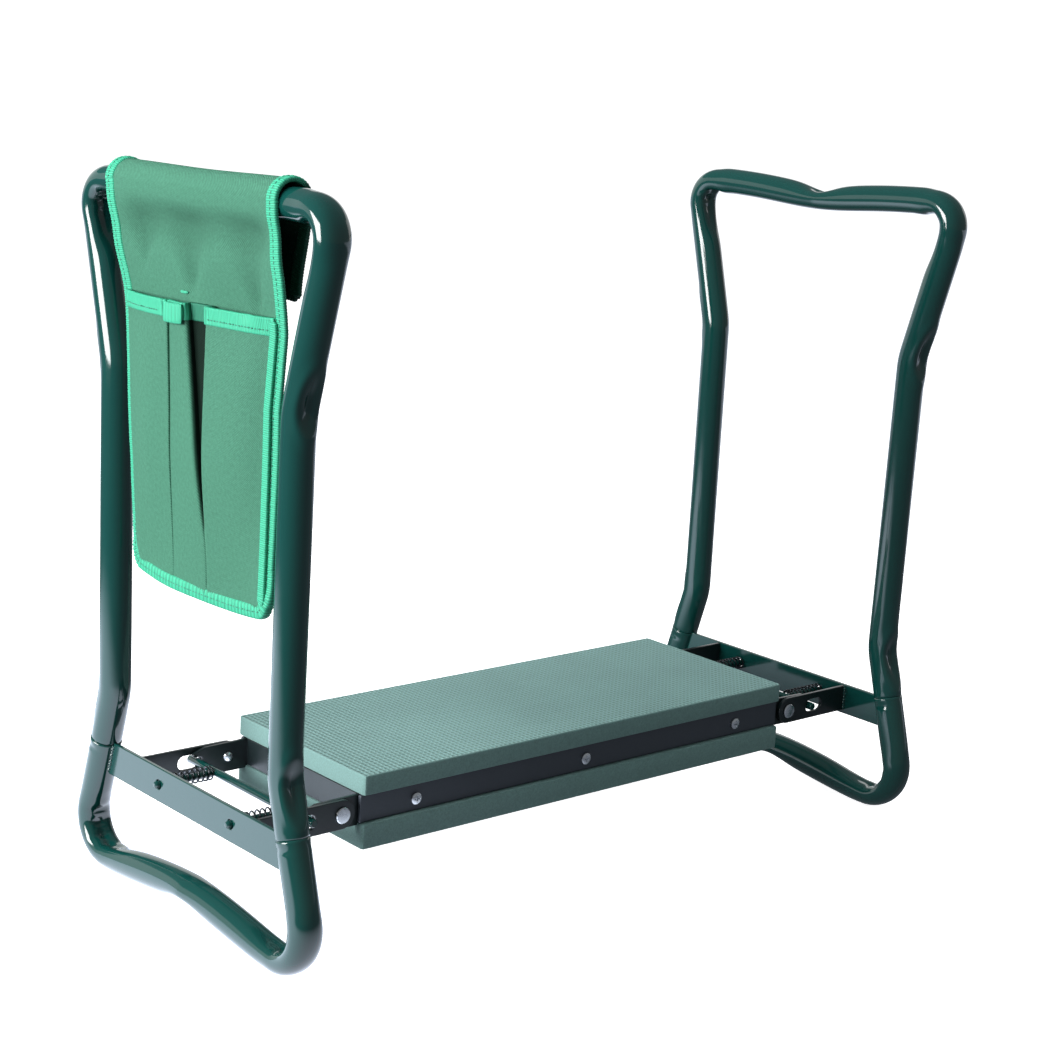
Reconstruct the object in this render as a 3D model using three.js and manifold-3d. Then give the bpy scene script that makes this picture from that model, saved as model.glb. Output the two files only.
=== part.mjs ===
// Garden kneeler seat: a padded seat between two folding tubular legs, with spring-held lock rods
// and a cloth tool pouch over one handle. Millimetres, +Z up, floor at z = 0.
// +X runs along the seat, and -Y is the near side.
import * as THREE from 'three';
import { mergeVertices } from 'three/addons/utils/BufferGeometryUtils.js';
import Module from 'manifold-3d';

const wasm = await Module();
wasm.setup();

// Whole object
const OVERALL_HEIGHT = 490;
// Clearance between neighbouring pieces, and how far a cutting tool runs past the face it cuts
const GAP = 0.35;
const OVERRUN = 5;

// Leg loops: one closed outline of tube in the YZ plane, mirrored about y = 0
const LEG_X = 285;
const TUBE_RADIUS = 11;
const TUBE_WALL = 1.2;
const HANDLE_CORNER = { y: 136.8, z: OVERALL_HEIGHT - TUBE_RADIUS + 1, radius: 18 };
const HANDLE_MIDDLE = { z: OVERALL_HEIGHT - TUBE_RADIUS - 4.6, radius: 220 };
const UPPER_WAIST = { y: 105, z: 362, radius: 60 };
const LOWER_WAIST = { y: 103, z: 131, radius: 45 };
const FOOT_CORNER = { y: 138, z: TUBE_RADIUS - 1.6, radius: 27 };
const FOOT_MIDDLE = { z: TUBE_RADIUS + 9, radius: 220 };
const SEAM_Z = 94;
const BEND_STEPS_PER_RADIAN = 4.5;

// Seat
const PAD_HALF_LENGTH = 201;
const PAD_HALF_WIDTH = 75;
const PAD_CORNER_RADIUS = 2.2;
const UPPER_PAD = { bottom: 93, top: 107 };
const LOWER_PAD = { bottom: 55.4, top: 72.8 };
const RAIL = { bottom: 73.2, top: 92.6, thickness: 3, outerY: 71.5, halfLength: 201.5 };
const CORE_HALF_LENGTH = 196;
const BRACKET_OUTER_X = 200;
const BRACKET_THICKNESS = 3;
const BRACKET_EAR_REACH = 21.4;

// Hinge and lock, one set at each end
const PIVOT = { x: 216, z: 82 };
const ARM = { halfHeight: 10.2, thickness: 3, outerY: 71.5 };
const RIVET = {
  shankRadius: 2.6,
  holeClearance: 0.25,
  outerHeadRadius: 5.3,
  innerHeadRadius: 3.8,
  headHeight: 1.7,
};
// Where each head starts to round off, and how wide its flat top is, as shares of its height and radius
const INNER_HEAD = { start: 0.3, shoulder: 0.8, flat: 0.75 };
const OUTER_HEAD = { start: 0.6, flat: 0.85 };
const LOCK_ROD = { x: 241, radius: 3, halfLength: 74.5 };
const LOCK_TRAVEL = 9;
const SLOT_HALF_HEIGHT = 4.2;
const SLOT_END_CLEARANCE = 0.5;
const CROSSBAR = { bottom: 69, top: 92.6, innerX: 282.5, thickness: 3, slopeClearance: 1.04 };
const GUIDE_PIN = { y: 44, radius: 2.1, standOut: 4, domeStart: 1.2, domeTop: 0.3, domeFlat: 0.7 };
const SPRING = { coilRadius: 4.1, wireRadius: 0.65, turns: 9, stepsPerTurn: 8 };

// Rail screws
const SCREW = {
  headRadius: 4,
  headHeight: 2.3,
  headStart: 0.45,
  headFlat: 0.6,
  shankRadius: 1.8,
  depth: 9,
  tipLength: 1.5,
  tipClearance: 1,
  xs: [-155, 0, 155],
};
const RECESS = { reach: 2, halfWidth: 0.45, depth: 1.2 };

// Tool pouch over the left handle
const POUCH = {
  cloth: 1.6,
  topHalfWidth: 90,
  bottomHalfWidth: 83,
  bottomZ: 224,
  cornerRadius: 26,
  hangX: 287,
  bendZ: 414,
  slack: 1,
  shoulderDrop: 8,
  rearX: 270.5,
  rearBottomZ: 426,
};
const POCKET = { bottomZ: 230, topZ: 412, halfWidth: 80, depth: 9.5, cloth: 1.5 };

// Finishes
const FINISH = {
  enamel: { color: 0x14403d, roughness: 0.22, metalness: 0.35 },
  darkPlate: { color: 0x101d1e, roughness: 0.3, metalness: 0.4 },
  rail: { color: 0x2b2d35, roughness: 0.45, metalness: 0.3 },
  core: { color: 0x3a3c40, roughness: 0.8, metalness: 0 },
  foam: { color: 0x5f9687, roughness: 0.85, metalness: 0 },
  zinc: { color: 0xc9ccd0, roughness: 0.25, metalness: 1 },
  spring: { color: 0x2a2c2e, roughness: 0.3, metalness: 0.9 },
  cloth: { color: 0x64a582, roughness: 0.95, metalness: 0 },
};

const group = new THREE.Group();

function addPiece(name, geometry, finish) {
  const piece = new THREE.Mesh(geometry, new THREE.MeshStandardMaterial(FINISH[finish]));
  piece.name = name;
  group.add(piece);
  return piece;
}

// Solid and geometry conversion around the boolean cuts
function toSolid(geometry) {
  const bare = geometry.clone();
  bare.deleteAttribute('normal');
  bare.deleteAttribute('uv');
  const merged = mergeVertices(bare, 1e-4);
  const mesh = new wasm.Mesh({
    numProp: 3,
    vertProperties: new Float32Array(merged.attributes.position.array),
    triVerts: new Uint32Array(merged.index.array),
  });
  return new wasm.Manifold(mesh);
}

function toGeometry(solid) {
  const mesh = solid.getMesh();
  const geometry = new THREE.BufferGeometry();
  geometry.setAttribute('position', new THREE.BufferAttribute(new Float32Array(mesh.vertProperties), 3));
  geometry.setIndex(new THREE.BufferAttribute(new Uint32Array(mesh.triVerts), 1));
  geometry.computeVertexNormals();
  return geometry;
}

function cut(geometry, tools) {
  let solid = toSolid(geometry);
  for (const tool of tools) {
    solid = solid.subtract(toSolid(tool));
  }
  return toGeometry(solid);
}

function common(geometry, other) {
  return toGeometry(toSolid(geometry).intersect(toSolid(other)));
}

// Basic bodies
function boxBetween(low, high) {
  const size = high.map((value, i) => value - low[i]);
  const box = new THREE.BoxGeometry(...size);
  return box.translate(...low.map((value, i) => value + size[i] / 2));
}

function cylinderAlong(axis, radius, from, to, centre, sides = 20) {
  const cylinder = new THREE.CylinderGeometry(radius, radius, to - from, sides);
  if (axis === 'x') cylinder.rotateZ(-Math.PI / 2);
  const middle = (from + to) / 2;
  const place = { x: [middle, ...centre], y: [centre[0], middle, centre[1]] };
  return cylinder.translate(...place[axis]);
}

// A flat outline in the XZ plane (x, z), given a thickness from nearY to farY
function plateAcrossY(shape, nearY, farY, curveSegments = 10) {
  const options = { depth: farY - nearY, bevelEnabled: false, curveSegments };
  const plate = new THREE.ExtrudeGeometry(shape, options);
  plate.rotateX(Math.PI / 2);
  return plate.translate(0, farY, 0);
}

function roundedRectangle(halfLength, halfWidth, radius) {
  const shape = new THREE.Shape();
  shape.moveTo(halfLength - radius, -halfWidth);
  shape.absarc(halfLength - radius, -halfWidth + radius, radius, -Math.PI / 2, 0);
  shape.absarc(halfLength - radius, halfWidth - radius, radius, 0, Math.PI / 2);
  shape.absarc(-halfLength + radius, halfWidth - radius, radius, Math.PI / 2, Math.PI);
  shape.absarc(-halfLength + radius, -halfWidth + radius, radius, Math.PI, 1.5 * Math.PI);
  shape.closePath();
  return shape;
}

// Tube route: straight runs between corners that are rounded to their own radius
class BentRoute extends THREE.Curve {
  constructor(corners) {
    super();
    this.stations = [];
    const last = corners.length - 1;
    this.addStation(corners[0].point, corners[1].point.clone().sub(corners[0].point));
    for (let i = 1; i < last; i += 1) {
      this.addBend(corners[i - 1].point, corners[i], corners[i + 1].point);
    }
    this.addStation(corners[last].point, corners[last].point.clone().sub(corners[last - 1].point));
  }

  get count() {
    return this.stations.length - 1;
  }

  addStation(point, direction) {
    this.stations.push({ point: point.clone(), tangent: direction.clone().normalize() });
  }

  addBend(before, corner, after) {
    const back = before.clone().sub(corner.point).normalize();
    const ahead = after.clone().sub(corner.point).normalize();
    const half = back.angleTo(ahead) / 2;
    const towards = back.clone().add(ahead).normalize();
    const centre = corner.point.clone().addScaledVector(towards, corner.radius / Math.sin(half));
    const start = corner.point.clone().addScaledVector(back, corner.radius / Math.tan(half)).sub(centre);
    const turn = Math.PI - 2 * half;
    const axis = back.clone().negate().cross(ahead).normalize();
    const steps = Math.max(2, Math.round(BEND_STEPS_PER_RADIAN * turn));
    for (let step = 0; step <= steps; step += 1) {
      const angle = (turn * step) / steps;
      const spoke = start.clone().applyAxisAngle(axis, angle);
      const direction = back.clone().negate().applyAxisAngle(axis, angle);
      this.addStation(spoke.add(centre), direction);
    }
  }

  getPoint(u, target = new THREE.Vector3()) {
    return target.copy(this.stations[Math.round(u * this.count)].point);
  }

  getPointAt(u, target) {
    return this.getPoint(u, target);
  }

  getTangent(u, target = new THREE.Vector3()) {
    return target.copy(this.stations[Math.round(u * this.count)].tangent);
  }

  getTangentAt(u, target) {
    return this.getTangent(u, target);
  }
}

function circleShape(radius) {
  const shape = new THREE.Shape();
  shape.absarc(0, 0, radius, 0, 2 * Math.PI);
  return shape;
}

function tubeAlong(corners) {
  const route = new BentRoute(corners);
  const section = circleShape(TUBE_RADIUS);
  const bore = new THREE.Path();
  bore.absarc(0, 0, TUBE_RADIUS - TUBE_WALL, 0, 2 * Math.PI, true);
  section.holes.push(bore);
  const options = { steps: route.count, extrudePath: route, bevelEnabled: false, curveSegments: 6 };
  return new THREE.ExtrudeGeometry(section, options);
}

// Half-width of the lower post's centreline at a height between the foot and the lower waist
function lowerPostY(z) {
  const slope = (FOOT_CORNER.y - LOWER_WAIST.y) / (LOWER_WAIST.z - FOOT_CORNER.z);
  return LOWER_WAIST.y + (LOWER_WAIST.z - z) * slope;
}

function legCorner(x, y, z, radius = 0) {
  return { point: new THREE.Vector3(x, y, z), radius };
}

// One tube from seam to seam, over the handle
function handleLoop(x) {
  const seamY = lowerPostY(SEAM_Z);
  return tubeAlong([
    legCorner(x, -seamY, SEAM_Z + GAP / 2),
    legCorner(x, -LOWER_WAIST.y, LOWER_WAIST.z, LOWER_WAIST.radius),
    legCorner(x, -UPPER_WAIST.y, UPPER_WAIST.z, UPPER_WAIST.radius),
    legCorner(x, -HANDLE_CORNER.y, HANDLE_CORNER.z, HANDLE_CORNER.radius),
    legCorner(x, 0, HANDLE_MIDDLE.z, HANDLE_MIDDLE.radius),
    legCorner(x, HANDLE_CORNER.y, HANDLE_CORNER.z, HANDLE_CORNER.radius),
    legCorner(x, UPPER_WAIST.y, UPPER_WAIST.z, UPPER_WAIST.radius),
    legCorner(x, LOWER_WAIST.y, LOWER_WAIST.z, LOWER_WAIST.radius),
    legCorner(x, seamY, SEAM_Z + GAP / 2),
  ]);
}

// One tube from seam to seam, under the foot
function footLoop(x) {
  const seamY = lowerPostY(SEAM_Z);
  return tubeAlong([
    legCorner(x, -seamY, SEAM_Z - GAP / 2),
    legCorner(x, -FOOT_CORNER.y, FOOT_CORNER.z, FOOT_CORNER.radius),
    legCorner(x, 0, FOOT_MIDDLE.z, FOOT_MIDDLE.radius),
    legCorner(x, FOOT_CORNER.y, FOOT_CORNER.z, FOOT_CORNER.radius),
    legCorner(x, seamY, SEAM_Z - GAP / 2),
  ]);
}

// Flat bar between the posts, its ends cut to their slope, with two holes for the guide pins
function crossbar(side) {
  const clear = (TUBE_RADIUS + GAP) * CROSSBAR.slopeClearance;
  const shape = new THREE.Shape();
  shape.moveTo(lowerPostY(CROSSBAR.bottom) - clear, CROSSBAR.bottom);
  shape.lineTo(lowerPostY(CROSSBAR.top) - clear, CROSSBAR.top);
  shape.lineTo(-lowerPostY(CROSSBAR.top) + clear, CROSSBAR.top);
  shape.lineTo(-lowerPostY(CROSSBAR.bottom) + clear, CROSSBAR.bottom);
  shape.closePath();
  const plate = plateAcrossY(shape, -CROSSBAR.thickness / 2, CROSSBAR.thickness / 2);
  plate.rotateZ(Math.PI / 2);
  plate.translate(side * (CROSSBAR.innerX + CROSSBAR.thickness / 2), 0, 0);
  const inside = side * (CROSSBAR.innerX - OVERRUN);
  const outside = side * (CROSSBAR.innerX + CROSSBAR.thickness + OVERRUN);
  const holes = [-1, 1].map((end) => cylinderAlong(
    'x',
    GUIDE_PIN.radius + GAP,
    Math.min(inside, outside),
    Math.max(inside, outside),
    [end * GUIDE_PIN.y, PIVOT.z],
    14,
  ));
  return cut(plate, holes);
}

// Swing arm from the rivet to the crossbar, with the slot that the lock rod slides in
function arm(side, end) {
  const reach = CROSSBAR.innerX - GAP;
  const shape = new THREE.Shape();
  shape.moveTo(reach, PIVOT.z + ARM.halfHeight);
  shape.lineTo(PIVOT.x, PIVOT.z + ARM.halfHeight);
  shape.absarc(PIVOT.x, PIVOT.z, ARM.halfHeight, Math.PI / 2, 1.5 * Math.PI);
  shape.lineTo(reach, PIVOT.z - ARM.halfHeight);
  shape.closePath();
  const rivetHole = new THREE.Path();
  rivetHole.absarc(PIVOT.x, PIVOT.z, RIVET.shankRadius + RIVET.holeClearance, 0, 2 * Math.PI, true);
  const slotStart = LOCK_ROD.x - LOCK_ROD.radius - SLOT_END_CLEARANCE + SLOT_HALF_HEIGHT;
  const slotReach = LOCK_ROD.x + LOCK_TRAVEL + LOCK_ROD.radius + SLOT_END_CLEARANCE;
  const slotEnd = slotReach - SLOT_HALF_HEIGHT;
  const slot = new THREE.Path();
  slot.absarc(slotStart, PIVOT.z, SLOT_HALF_HEIGHT, 1.5 * Math.PI, Math.PI / 2, true);
  slot.absarc(slotEnd, PIVOT.z, SLOT_HALF_HEIGHT, Math.PI / 2, -Math.PI / 2, true);
  slot.closePath();
  shape.holes.push(rivetHole, slot);
  const outer = end * ARM.outerY;
  const inner = end * (ARM.outerY - ARM.thickness);
  const plate = plateAcrossY(shape, Math.min(outer, inner), Math.max(outer, inner), 7);
  // Turned round for the left side, then brought back to its own end
  return side > 0 ? plate : plate.rotateZ(Math.PI).translate(0, inner + outer, 0);
}

// Two-headed rivet through an arm and the bracket ear inside it
function rivet(side, end) {
  const outerFace = ARM.outerY + GAP;
  const innerFace = RAIL.outerY - RAIL.thickness - GAP - BRACKET_THICKNESS - GAP;
  const head = RIVET.headHeight;
  const profile = [
    [0, innerFace - head],
    [RIVET.innerHeadRadius * INNER_HEAD.flat, innerFace - head * INNER_HEAD.shoulder],
    [RIVET.innerHeadRadius, innerFace - head * INNER_HEAD.start],
    [RIVET.innerHeadRadius, innerFace],
    [RIVET.shankRadius, innerFace],
    [RIVET.shankRadius, outerFace],
    [RIVET.outerHeadRadius, outerFace],
    [RIVET.outerHeadRadius, outerFace + head * OUTER_HEAD.start],
    [RIVET.outerHeadRadius * OUTER_HEAD.flat, outerFace + head],
    [0, outerFace + head],
  ].map(([radius, height]) => new THREE.Vector2(radius, height));
  const body = new THREE.LatheGeometry(profile, 18);
  if (end < 0) body.rotateX(Math.PI);
  return body.translate(side * PIVOT.x, 0, PIVOT.z);
}

// U-shaped bracket: a web across the seat's end, with an ear along each arm
function endBracket(side) {
  const earOuterY = RAIL.outerY - RAIL.thickness - GAP;
  const earEnd = PIVOT.x + BRACKET_EAR_REACH;
  const webInnerX = BRACKET_OUTER_X - BRACKET_THICKNESS;
  const plan = new THREE.Shape();
  plan.moveTo(webInnerX, -earOuterY);
  plan.lineTo(earEnd, -earOuterY);
  plan.lineTo(earEnd, -earOuterY + BRACKET_THICKNESS);
  plan.lineTo(BRACKET_OUTER_X, -earOuterY + BRACKET_THICKNESS);
  plan.lineTo(BRACKET_OUTER_X, earOuterY - BRACKET_THICKNESS);
  plan.lineTo(earEnd, earOuterY - BRACKET_THICKNESS);
  plan.lineTo(earEnd, earOuterY);
  plan.lineTo(webInnerX, earOuterY);
  plan.closePath();
  const folded = new THREE.ExtrudeGeometry(plan, { depth: RAIL.top - RAIL.bottom, bevelEnabled: false });
  folded.translate(0, 0, RAIL.bottom);
  // The ear's end is round about the rivet, so that the lock rod clears it as the leg swings
  const profile = new THREE.Shape();
  const rise = Math.asin((RAIL.top - PIVOT.z) / BRACKET_EAR_REACH);
  const drop = Math.asin((PIVOT.z - RAIL.bottom) / BRACKET_EAR_REACH);
  profile.moveTo(webInnerX - OVERRUN, RAIL.bottom);
  profile.absarc(PIVOT.x, PIVOT.z, BRACKET_EAR_REACH, -drop, rise);
  profile.lineTo(webInnerX - OVERRUN, RAIL.top);
  profile.closePath();
  const mould = plateAcrossY(profile, -earOuterY - OVERRUN, earOuterY + OVERRUN, 14);
  const rounded = common(folded, mould);
  const hole = cylinderAlong(
    'y',
    RIVET.shankRadius + RIVET.holeClearance,
    -earOuterY - OVERRUN,
    earOuterY + OVERRUN,
    [PIVOT.x, PIVOT.z],
    18,
  );
  const bracket = cut(rounded, [hole]);
  return side > 0 ? bracket : bracket.rotateZ(Math.PI);
}

function lockRod(side) {
  const reach = LOCK_ROD.halfLength;
  return cylinderAlong('y', LOCK_ROD.radius, -reach, reach, [side * LOCK_ROD.x, PIVOT.z], 16);
}

// Headless pin with a domed outer tip, standing out through the crossbar
function guidePin(side, end) {
  const start = LOCK_ROD.x + LOCK_ROD.radius + GAP;
  const tip = CROSSBAR.innerX + CROSSBAR.thickness + GUIDE_PIN.standOut;
  const profile = [
    [0, start],
    [GUIDE_PIN.radius, start],
    [GUIDE_PIN.radius, tip - GUIDE_PIN.domeStart],
    [GUIDE_PIN.radius * GUIDE_PIN.domeFlat, tip - GUIDE_PIN.domeTop],
    [0, tip],
  ].map(([radius, height]) => new THREE.Vector2(radius, height));
  const pin = new THREE.LatheGeometry(profile, 12);
  pin.rotateZ(-Math.PI / 2);
  if (side < 0) pin.rotateZ(Math.PI);
  return pin.translate(0, end * GUIDE_PIN.y, PIVOT.z);
}

// Helix around a guide pin, between the lock rod and the crossbar
class Helix extends THREE.Curve {
  constructor(startX, endX) {
    super();
    this.startX = startX;
    this.endX = endX;
  }

  getPoint(u, target = new THREE.Vector3()) {
    const angle = 2 * Math.PI * SPRING.turns * u;
    return target.set(
      this.startX + (this.endX - this.startX) * u,
      SPRING.coilRadius * Math.cos(angle),
      SPRING.coilRadius * Math.sin(angle),
    );
  }
}

function coilSpring(side, end) {
  const clear = SPRING.wireRadius + GAP;
  const start = side * (LOCK_ROD.x + LOCK_ROD.radius + clear);
  const finish = side * (CROSSBAR.innerX - clear);
  const route = new Helix(start, finish);
  const steps = SPRING.turns * SPRING.stepsPerTurn;
  const options = { steps, extrudePath: route, bevelEnabled: false, curveSegments: 3 };
  const coil = new THREE.ExtrudeGeometry(circleShape(SPRING.wireRadius), options);
  return coil.translate(0, end * GUIDE_PIN.y, PIVOT.z);
}

// Seat pieces
function pad(level) {
  const outline = roundedRectangle(PAD_HALF_LENGTH, PAD_HALF_WIDTH, PAD_CORNER_RADIUS);
  const options = { depth: level.top - level.bottom, bevelEnabled: false, curveSegments: 6 };
  const slab = new THREE.ExtrudeGeometry(outline, options);
  return slab.translate(0, 0, level.bottom);
}

function screwHoles(end, radius, depthFrom, depthTo) {
  const from = Math.min(end * depthFrom, end * depthTo);
  const to = Math.max(end * depthFrom, end * depthTo);
  return SCREW.xs.map((x) => cylinderAlong('y', radius, from, to, [x, PIVOT.z], 12));
}

function sideRail(end) {
  const inner = end * (RAIL.outerY - RAIL.thickness);
  const outer = end * RAIL.outerY;
  const bar = boxBetween(
    [-RAIL.halfLength, Math.min(inner, outer), RAIL.bottom],
    [RAIL.halfLength, Math.max(inner, outer), RAIL.top],
  );
  const inside = RAIL.outerY - RAIL.thickness - OVERRUN;
  return cut(bar, screwHoles(end, SCREW.shankRadius + GAP, inside, RAIL.outerY + OVERRUN));
}

// Board between the pads that the rail screws bite into
function seatCore() {
  const halfWidth = RAIL.outerY - RAIL.thickness - GAP;
  const board = boxBetween(
    [-CORE_HALF_LENGTH, -halfWidth, RAIL.bottom],
    [CORE_HALF_LENGTH, halfWidth, RAIL.top],
  );
  const depth = RAIL.outerY - SCREW.depth - SCREW.tipClearance;
  const near = screwHoles(-1, SCREW.shankRadius + GAP, depth, RAIL.outerY);
  const far = screwHoles(1, SCREW.shankRadius + GAP, depth, RAIL.outerY);
  return cut(board, [...near, ...far]);
}

// Pan-head screw with a cross recess, from the rail's outer face into the core
function railScrew(end, x) {
  const face = RAIL.outerY + GAP;
  const profile = [
    [0, RAIL.outerY - SCREW.depth],
    [SCREW.shankRadius, RAIL.outerY - SCREW.depth + SCREW.tipLength],
    [SCREW.shankRadius, face],
    [SCREW.headRadius, face],
    [SCREW.headRadius, face + SCREW.headHeight * SCREW.headStart],
    [SCREW.headRadius * SCREW.headFlat, face + SCREW.headHeight],
    [0, face + SCREW.headHeight],
  ].map(([radius, height]) => new THREE.Vector2(radius, height));
  const body = new THREE.LatheGeometry(profile, 14);
  const top = face + SCREW.headHeight;
  const floor = top - RECESS.depth;
  const mouth = top + OVERRUN;
  const { reach, halfWidth } = RECESS;
  const screw = cut(body, [
    boxBetween([-reach, floor, -halfWidth], [reach, mouth, halfWidth]),
    boxBetween([-halfWidth, floor, -reach], [halfWidth, mouth, reach]),
  ]);
  if (end < 0) screw.rotateZ(Math.PI);
  return screw.translate(x, 0, PIVOT.z);
}

// Pouch cloth: down the outer side of the leg, over the handle, and a short flap behind it
function pouchPanel() {
  const wrap = TUBE_RADIUS + GAP + POUCH.slack;
  const outside = wrap + POUCH.cloth;
  const top = HANDLE_CORNER.z;
  const shoulder = top - POUCH.shoulderDrop;
  const hang = POUCH.hangX;
  const profile = new THREE.Shape();
  profile.moveTo(-hang, POUCH.bottomZ);
  profile.lineTo(-hang, POUCH.bendZ);
  profile.lineTo(-LEG_X - wrap, shoulder);
  profile.lineTo(-LEG_X - wrap, top);
  profile.absarc(-LEG_X, top, wrap, Math.PI, 0, true);
  profile.lineTo(-LEG_X + wrap, top);
  profile.lineTo(-POUCH.rearX - POUCH.cloth, POUCH.rearBottomZ);
  profile.lineTo(-POUCH.rearX, POUCH.rearBottomZ);
  profile.lineTo(-LEG_X + outside, top);
  profile.absarc(-LEG_X, top, outside, 0, Math.PI, false);
  profile.lineTo(-LEG_X - outside, shoulder);
  profile.lineTo(-hang - POUCH.cloth, POUCH.bendZ);
  profile.lineTo(-hang - POUCH.cloth, POUCH.bottomZ);
  profile.closePath();
  const width = POUCH.topHalfWidth;
  const sheet = plateAcrossY(profile, -width, width, 10);
  // Front outline in (y, z): narrower at the foot, with two round corners
  const outline = new THREE.Shape();
  const foot = POUCH.bottomHalfWidth;
  const corner = POUCH.cornerRadius;
  outline.moveTo(-foot + corner, POUCH.bottomZ);
  outline.lineTo(foot - corner, POUCH.bottomZ);
  outline.quadraticCurveTo(foot, POUCH.bottomZ, foot, POUCH.bottomZ + corner);
  outline.lineTo(width, POUCH.bendZ);
  outline.lineTo(width, top + outside + OVERRUN);
  outline.lineTo(-width, top + outside + OVERRUN);
  outline.lineTo(-width, POUCH.bendZ);
  outline.lineTo(-foot, POUCH.bottomZ + corner);
  outline.quadraticCurveTo(-foot, POUCH.bottomZ, -foot + corner, POUCH.bottomZ);
  const mouldReach = outside + OVERRUN;
  const mould = plateAcrossY(outline, -mouldReach, mouldReach, 6);
  mould.rotateZ(Math.PI / 2);
  mould.translate(-LEG_X, 0, 0);
  return common(sheet, mould);
}

// Pocket sewn to the panel's outer face: front, sides and floor of cloth, open at the top
function pouchPocket() {
  const back = -POUCH.hangX - POUCH.cloth - GAP;
  const front = back - POCKET.depth;
  const wall = POCKET.cloth;
  const half = POCKET.halfWidth;
  const block = boxBetween([front, -half, POCKET.bottomZ], [back, half, POCKET.topZ]);
  const hollow = boxBetween(
    [front + wall, -half + wall, POCKET.bottomZ + wall],
    [back + OVERRUN, half - wall, POCKET.topZ + OVERRUN],
  );
  return cut(block, [hollow]);
}

// Seat
addPiece('upper_pad', pad(UPPER_PAD), 'foam');
addPiece('lower_pad', pad(LOWER_PAD), 'foam');
addPiece('seat_core', seatCore(), 'core');
const ENDS = [['near', -1], ['far', 1]];
const SIDES = [['left', -1], ['right', 1]];
const PLACES = ['left', 'middle', 'right'];
for (const [endName, end] of ENDS) {
  addPiece(`side_rail_${endName}`, sideRail(end), 'rail');
  SCREW.xs.forEach((x, i) => {
    addPiece(`rail_screw_${endName}_${PLACES[i]}`, railScrew(end, x), 'zinc');
  });
}

// Legs, hinges and locks
for (const [sideName, side] of SIDES) {
  addPiece(`${sideName}_end_bracket`, endBracket(side), 'darkPlate');
  addPiece(`${sideName}_handle_loop`, handleLoop(side * LEG_X), 'enamel');
  addPiece(`${sideName}_foot_loop`, footLoop(side * LEG_X), 'enamel');
  addPiece(`${sideName}_crossbar`, crossbar(side), 'enamel');
  addPiece(`${sideName}_lock_rod`, lockRod(side), 'enamel');
  for (const [endName, end] of ENDS) {
    addPiece(`${sideName}_arm_${endName}`, arm(side, end), 'darkPlate');
    addPiece(`${sideName}_pivot_rivet_${endName}`, rivet(side, end), 'zinc');
    addPiece(`${sideName}_guide_pin_${endName}`, guidePin(side, end), 'enamel');
    addPiece(`${sideName}_lock_spring_${endName}`, coilSpring(side, end), 'spring');
  }
}

// Tool pouch
addPiece('pouch_panel', pouchPanel(), 'cloth');
addPiece('pouch_pocket', pouchPocket(), 'cloth');

export default group;
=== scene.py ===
import math

import bmesh
import bpy
import numpy as np
from bpy.props import FloatProperty, FloatVectorProperty, IntProperty, PointerProperty
from mathutils import Matrix, Vector
from mathutils.geometry import delaunay_2d_cdt


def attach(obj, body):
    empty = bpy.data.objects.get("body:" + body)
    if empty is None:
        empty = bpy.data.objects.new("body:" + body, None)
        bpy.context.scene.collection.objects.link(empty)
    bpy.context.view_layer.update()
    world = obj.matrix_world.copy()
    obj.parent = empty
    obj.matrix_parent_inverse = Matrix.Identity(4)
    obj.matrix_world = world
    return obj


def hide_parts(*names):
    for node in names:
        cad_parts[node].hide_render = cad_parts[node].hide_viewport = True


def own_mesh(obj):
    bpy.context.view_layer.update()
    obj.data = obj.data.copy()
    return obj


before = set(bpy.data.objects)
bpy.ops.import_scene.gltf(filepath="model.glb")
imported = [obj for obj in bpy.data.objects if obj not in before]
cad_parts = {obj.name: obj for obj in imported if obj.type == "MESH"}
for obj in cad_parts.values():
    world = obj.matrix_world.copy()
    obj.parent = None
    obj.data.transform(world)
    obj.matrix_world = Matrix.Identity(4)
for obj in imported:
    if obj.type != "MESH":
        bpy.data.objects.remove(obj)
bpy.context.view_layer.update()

bl_info = {
    "name": "Garden kneeler seat",
    "version": (1, 0, 0),
    "blender": (4, 5, 0),
    "location": "3D Viewport > Sidebar > Kneeler",
    "description": "Folding kneeler seat with bent tube legs, foam pads, spring locks and a tool pouch",
    "category": "Add Mesh",
}

SIDES = (("left", -1), ("right", 1))
ENDS = (("near", -1), ("far", 1))


# Sizes and colours


def length(name, description, default):
    """A size in metres that can be changed in the panel."""
    return FloatProperty(name=name, description=description, default=default, unit="LENGTH")


def paint(name, description, default):
    """A colour that can be changed in the panel."""
    return FloatVectorProperty(name=name, description=description, default=default, subtype="COLOR")


class LegSizes(bpy.types.PropertyGroup):
    """Sizes of the two bent tube legs"""

    plane: length("Leg plane", "Distance of each leg from the middle", 0.285)
    radius: length("Tube radius", "Outside radius of the leg tube", 0.0109)
    bar_height: length("Handle height", "Height of the handle bar's centreline", 0.480)
    bar_dip: length("Handle dip", "Sag of the handle bar's middle", 0.0053)
    foot_arch: length("Foot arch", "Rise of the foot bar's middle", 0.0100)
    pinch: length("Pinch", "Depth of the pressed crease in the middle of each bar", 0.0088)
    dimple: length("Dimple", "Depth of the oval dimples at the waists", 0.0048)
    dish: length("Dish", "Depth of the hollow pressed into the inner side of each corner", 0.0056)
    seam: length("Seam height", "Height where the handle tube enters the foot tube", 0.094)


class SeatSizes(bpy.types.PropertyGroup):
    """Sizes of the foam pads and their rails"""

    half_length: length("Half length", "Half of the pads' length", 0.2012)
    half_width: length("Half width", "Half of the pads' width", 0.075)
    corner: length("Corner radius", "Radius of the pads' upright corners", 0.0022)
    grain: length("Grain", "Pitch of the embossed pits", 0.0039)
    grain_height: length("Grain height", "Depth of the embossed pits", 0.0011)
    screw_spacing: length("Screw spacing", "Distance between the screws of each side rail", 0.155)


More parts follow.
